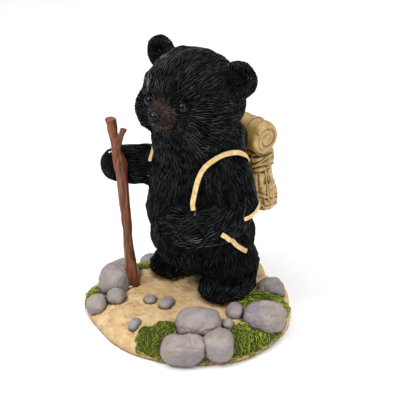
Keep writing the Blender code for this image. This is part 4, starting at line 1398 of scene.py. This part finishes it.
def block_reach(local):
    """How far places are from a rock's middle: 1 on the surface of its rounded block."""
    return np.sum(np.abs(local) ** ROCK_SQUARENESS, axis=1) ** (1 / ROCK_SQUARENESS)


def into_rock(table, place, turn, half):
    """How far places on the base are from a rock's middle, 1 being its surface."""
    return block_reach((table - np.array(place)) @ np.array(turn) / np.array(half))


# %% Shape the sand
sand = fine_skin(solid_copy("base", "ground"), 0.62 * MM, 2)
rows, ways = surface_of(sand)
top = ramp(ways[:, 2], 0.25, 0.7) * ramp(rows[:, 2], 2.5 * MM, 5 * MM)
dents = 0.32 * ripple(rows, 6 * MM, 1) + 0.3 * ripple(rows, 2.2 * MM, 2) + 0.28 * ripple(rows, 1.25 * MM, 3)
rows[:, 2] += dents * top * MM
side_wear = (1 - top) * ramp(rows[:, 2], 0.8 * MM, 2 * MM)
rows += ways * (ripple(rows, 4 * MM, 4) * 0.25 * side_wear * MM)[:, None] * (1, 1, 0)
move_points(sand, rows)
turf = turf_depth(rows) * ramp(rows[:, 2], 1.5 * MM, 3.5 * MM)
# Sand right round each rock is sunk and marked, to be painted dark grey-brown: painted shade at the rock's
# foot.
stone = np.zeros(len(rows))
rock_places = list(rock_frames())
for rock_place in rock_places:
    stone = np.maximum(stone, 1 - ramp(into_rock(rows, *rock_place), 1.04, 1.16))
rows -= ways * (0.7 * MM * stone)[:, None]
move_points(sand, rows)
note(sand, "stone", stone)
note(sand, "turf", turf)
note(sand, "dent", 0.5 - dents)
print("ground:", len(sand.data.polygons), "faces")

# %% Paint the sand, and dark green where turf grows
made, tree, shader = new_material("sand_paint", 0.75, 0.3)
dent = stretched(tree, stored(tree, "dent"), 0.5, 0.8, 0, 0.4)
# Painted shade: ambient occlusion darkens the sand near the feet, the rocks and the stick.
hollow = maths(tree, "ADD", sheltered(tree, 3.5, 0.9, 0.35), dent)
paints = painted(tree, ((216, 188, 144), (198, 162, 114), (142, 106, 64)), 150.0, 1500.0, 0.22, hollow)
# The turf's ground is a darker green than its blades: painted shade between them.
green = mixed(tree, noise_at(tree, place_in(tree), 500.0), colour(34, 48, 8), colour(56, 72, 16))
ground = mixed(tree, stretched(tree, stored(tree, "turf"), 0.3, 0.7), paints["Colour"], green)
# Painted shade: dark grey-brown at each rock's foot.
ground = mixed(tree, stored(tree, "stone"), ground, colour(84, 72, 62))
feed(tree, shader, Base_Color=ground, Roughness=maths(tree, "ADD", paints["Roughness"], 0.75),
     Normal=bumped(tree, paints["Height"], 0.4 * MM))
complete(sand, made)
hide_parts("base")

# %% [markdown]
# ## Rocks and pebbles
#
# Each rock is a ball that was pressed towards a block and dented, then painted warm
# grey with lavender and brown patches, with painted light on the faces that look up
# and painted shade in its hollows and low down by the sand.
# The solid has the same rocks with few faces; here each is its own fine piece.

# %% Paint the rocks
ROCK_PAINT, tree, shader = new_material("rock_paint", 0.6, 0.4)
place = place_in(tree)
normal = add_node(tree, "ShaderNodeNewGeometry").outputs["Normal"]
facing_up = add_node(tree, "ShaderNodeSeparateXYZ", {}, {0: normal})
# The wash colour darkens the rocks where little light reaches, low down by the sand: painted shade.
paints = painted(tree, ((152, 139, 130), (132, 122, 120), (58, 50, 46)), 85.0, 1100.0, 0.12,
                 sheltered(tree, 3.0, 0.85, 0.3))
# Painted light: faces that look up are mixed towards a paler grey.
painted_top_light = maths(tree, "MULTIPLY", stretched(tree, facing_up.outputs[2], 0.3, 0.95),
                stretched(tree, noise_at(tree, place, 140.0, 3.0), 0.4, 0.65))
lavender = stretched(tree, noise_at(tree, place, 60.0, 1.0), 0.5, 0.68)
pits = add_node(tree, "ShaderNodeTexVoronoi", {}, {"Vector": place, "Scale": 420.0}).outputs["Distance"]
pitted = maths(tree, "MULTIPLY", stretched(tree, pits, 0.16, 0.08),
               stretched(tree, noise_at(tree, place, 90.0, 1.0), 0.56, 0.62))
stone = paints["Colour"]
for mask, most, paint in ((painted_top_light, 0.5, (176, 168, 162)), (lavender, 0.25, (132, 134, 156)),
                          (pitted, 0.7, (70, 60, 56))):
    stone = mixed(tree, maths(tree, "MULTIPLY", mask, most), stone, colour(*paint))
height = maths(tree, "SUBTRACT", paints["Height"], maths(tree, "MULTIPLY", pitted, 2.0))
feed(tree, shader, Base_Color=stone, Roughness=maths(tree, "ADD", paints["Roughness"], 0.58),
     Normal=bumped(tree, height, 0.08 * MM))

# %% Press the rocks
LARGE_ROCK, SMALLEST_ROCK = 5 * MM, 3.9 * MM
for number, (place, turn, half) in enumerate(rock_places):
    bpy.ops.mesh.primitive_ico_sphere_add(subdivisions=6 if half.x > LARGE_ROCK else 5, radius=1)
    kind = "rock" if half.x > SMALLEST_ROCK else "pebble"
    rock = settle(bpy.context.object, f"{kind}_{number}")
    ball = points_of(rock)
    block = ball / block_reach(ball)[:, None] * np.array(half) @ np.array(turn).T
    ways = unit(block)
    large = 0.12 * noise_rows(ways * 1.3 + (number * 7.3, 0, 0))
    small = 0.035 * noise_rows(ways * 4 + (0, number * 3.7, 0))
    cracks = 0.2 * np.maximum(0.12 - np.abs(noise_rows(ways * 2.2 + (0, 0, number * 5.1))), 0)
    rows = np.array(place) + block * 1.025 + ways * (half.x * (large + small - cracks))[:, None]
    rows[:, 2] = np.maximum(rows[:, 2], 0.3 * MM)
    move_points(rock, rows)
    complete(rock, ROCK_PAINT)
print("rocks:", len(rock_places))

# %% [markdown]
# ## Turf
#
# The grass is carved like the fur, in short broad blades that lean over each other.
# The lock's pattern serves again, wider and raised at its tip. Its roots are chosen
# like the fur's, on the ground where the turf is and no rock stands.

# %% Grow the grass
BLADES_APART_ACROSS, BLADES_APART_ALONG = 0.72 * MM, 1.9 * MM
LOWEST_ROOT, LOWEST_TIP = 2.4 * MM, 0.5 * MM
roots, facing = possible_roots(sand, 0.62 * MM)
sand_tree = BVHTree.FromObject(sand, bpy.context.evaluated_depsgraph_get())
keep = (turf_depth(roots) > 0.45) & (roots[:, 2] > LOWEST_ROOT) & (facing[:, 2] > -0.2)
for rock_place in rock_places:
    keep &= into_rock(roots, *rock_place) ** ROCK_SQUARENESS > 0.95
roots, facing = roots[keep], facing[keep]
roots = roots + chance.normal(0, 0.15 * MM, roots.shape) * (1, 1, 0)
outwards = unit((roots - np.array(GROUND_SHIFT)) * (1, 1, 0))
to_viewer = np.array((backwards.x, backwards.y, 0))
outwards = unit(outwards + np.outer(ramp(outwards @ to_viewer, -0.3, 0.3), to_viewer))
swirl = ripple(roots, 5 * MM, 9)
turned_out = np.c_[outwards[:, 0] * np.cos(swirl) - outwards[:, 1] * np.sin(swirl),
                   outwards[:, 0] * np.sin(swirl) + outwards[:, 1] * np.cos(swirl), np.zeros(len(roots))]
along = turned_out + chance.normal(0, 0.18, roots.shape) * (1, 1, 0)
along -= facing * np.sum(along * facing, axis=1, keepdims=True)
along = unit(along)
everywhere = np.ones(len(roots))
keep = thinned(roots, facing, along, everywhere * BLADES_APART_ACROSS, everywhere * BLADES_APART_ALONG)
roots, facing, along = roots[keep], facing[keep], along[keep]
count = len(roots)
drop, length = dropped(sand_tree, roots, facing, along, chance.uniform(3.2, 5.0, count) * MM)
grass = plant("grass", roots, facing, along, length, chance.uniform(0.75, 1.05, count) * MM,
              np.full(count, 1.1 * MM), length * chance.uniform(0.02, 0.22, count),
              drop, chance.normal(0, 0.18, count))
rows = points_of(grass)
rows[:, 2] = np.maximum(rows[:, 2], LOWEST_TIP + 0.02 * np.abs(rows[:, 2]))
move_points(grass, rows)
shade = 0.5 + 0.6 * ripple(roots, 4 * MM, 3) + chance.normal(0, 0.22, count)
note(grass, "shade", per_point(np.clip(shade, 0, 1)))
note(grass, "tip", np.tile(LOCK_SHAPE[:, 2], count))

# %% Paint the blades
made, tree, shader = new_material("grass_paint", 0.55, 0.4)
blade = mixed(tree, stored(tree, "shade"), colour(98, 116, 14), colour(164, 172, 38))
blade = mixed(tree, maths(tree, "MULTIPLY", stored(tree, "tip"), 0.4), blade, colour(198, 200, 70))
# Painted shade: blades turn deep green away from their ridges, down the sides where they overlap.
blade = mixed(tree, stretched(tree, stored(tree, "ridge"), 0.75, 0.1), blade, colour(34, 50, 7))
fibre = noise_at(tree, place_in(tree), 2400.0)
feed(tree, shader, Base_Color=blade, Roughness=stretched(tree, fibre, 0.3, 0.7, 0.45, 0.65),
     Normal=bumped(tree, fibre, 0.05 * MM))
complete(grass, made)
print("blades:", count)

# %% [markdown]
# ## The table, the light and the last line
#
# The figure was photographed on plain white under soft lamps. Most of the light comes
# from a wide lamp on the ceiling, which leaves only a soft shadow under the base. A
# small lamp in front, on the left, puts the thin highlights on the fur, and a weaker
# one on the right keeps the pack from going dark. The white room does the rest.

# %% Lay the floor and hang the lamps
bpy.ops.mesh.primitive_plane_add(size=6)
floor = settle(bpy.context.object, "floor", smooth=False)
made, tree, shader = new_material("floor_white", 0.9, 0.1)
shader.inputs["Base Color"].default_value = (0.93, 0.93, 0.93, 1)
floor.data.materials.append(made)


def lamp(name, place, target, size, power):
    """A square area lamp that shines from a place to a target."""
    bpy.ops.object.light_add(type="AREA", location=place)
    light = bpy.context.object
    light.name = name
    light.data.size = size
    light.data.energy = power
    light.rotation_euler = (Vector(place) - Vector(target)).to_track_quat("Z", "Y").to_euler()
    return light


lamp("ceiling_lamp", (0, 0.3, 1.2), (0, 0.3, 0), 1.9, 22.0)
lamp("key_lamp", (-0.14, -0.44, 0.56), (0, 0, 0.06), 0.2, 2.6)
lamp("fill_lamp", (0.66, -0.10, 0.34), (0, 0, 0.06), 0.3, 1.3)

world = bpy.data.worlds.new("white_room")
bpy.context.scene.world = world
world.use_nodes = True
world.node_tree.nodes["Background"].inputs["Color"].default_value = (1, 1, 1, 1)
world.node_tree.nodes["Background"].inputs["Strength"].default_value = 0.22
bpy.context.scene.view_settings.view_transform = "Standard"
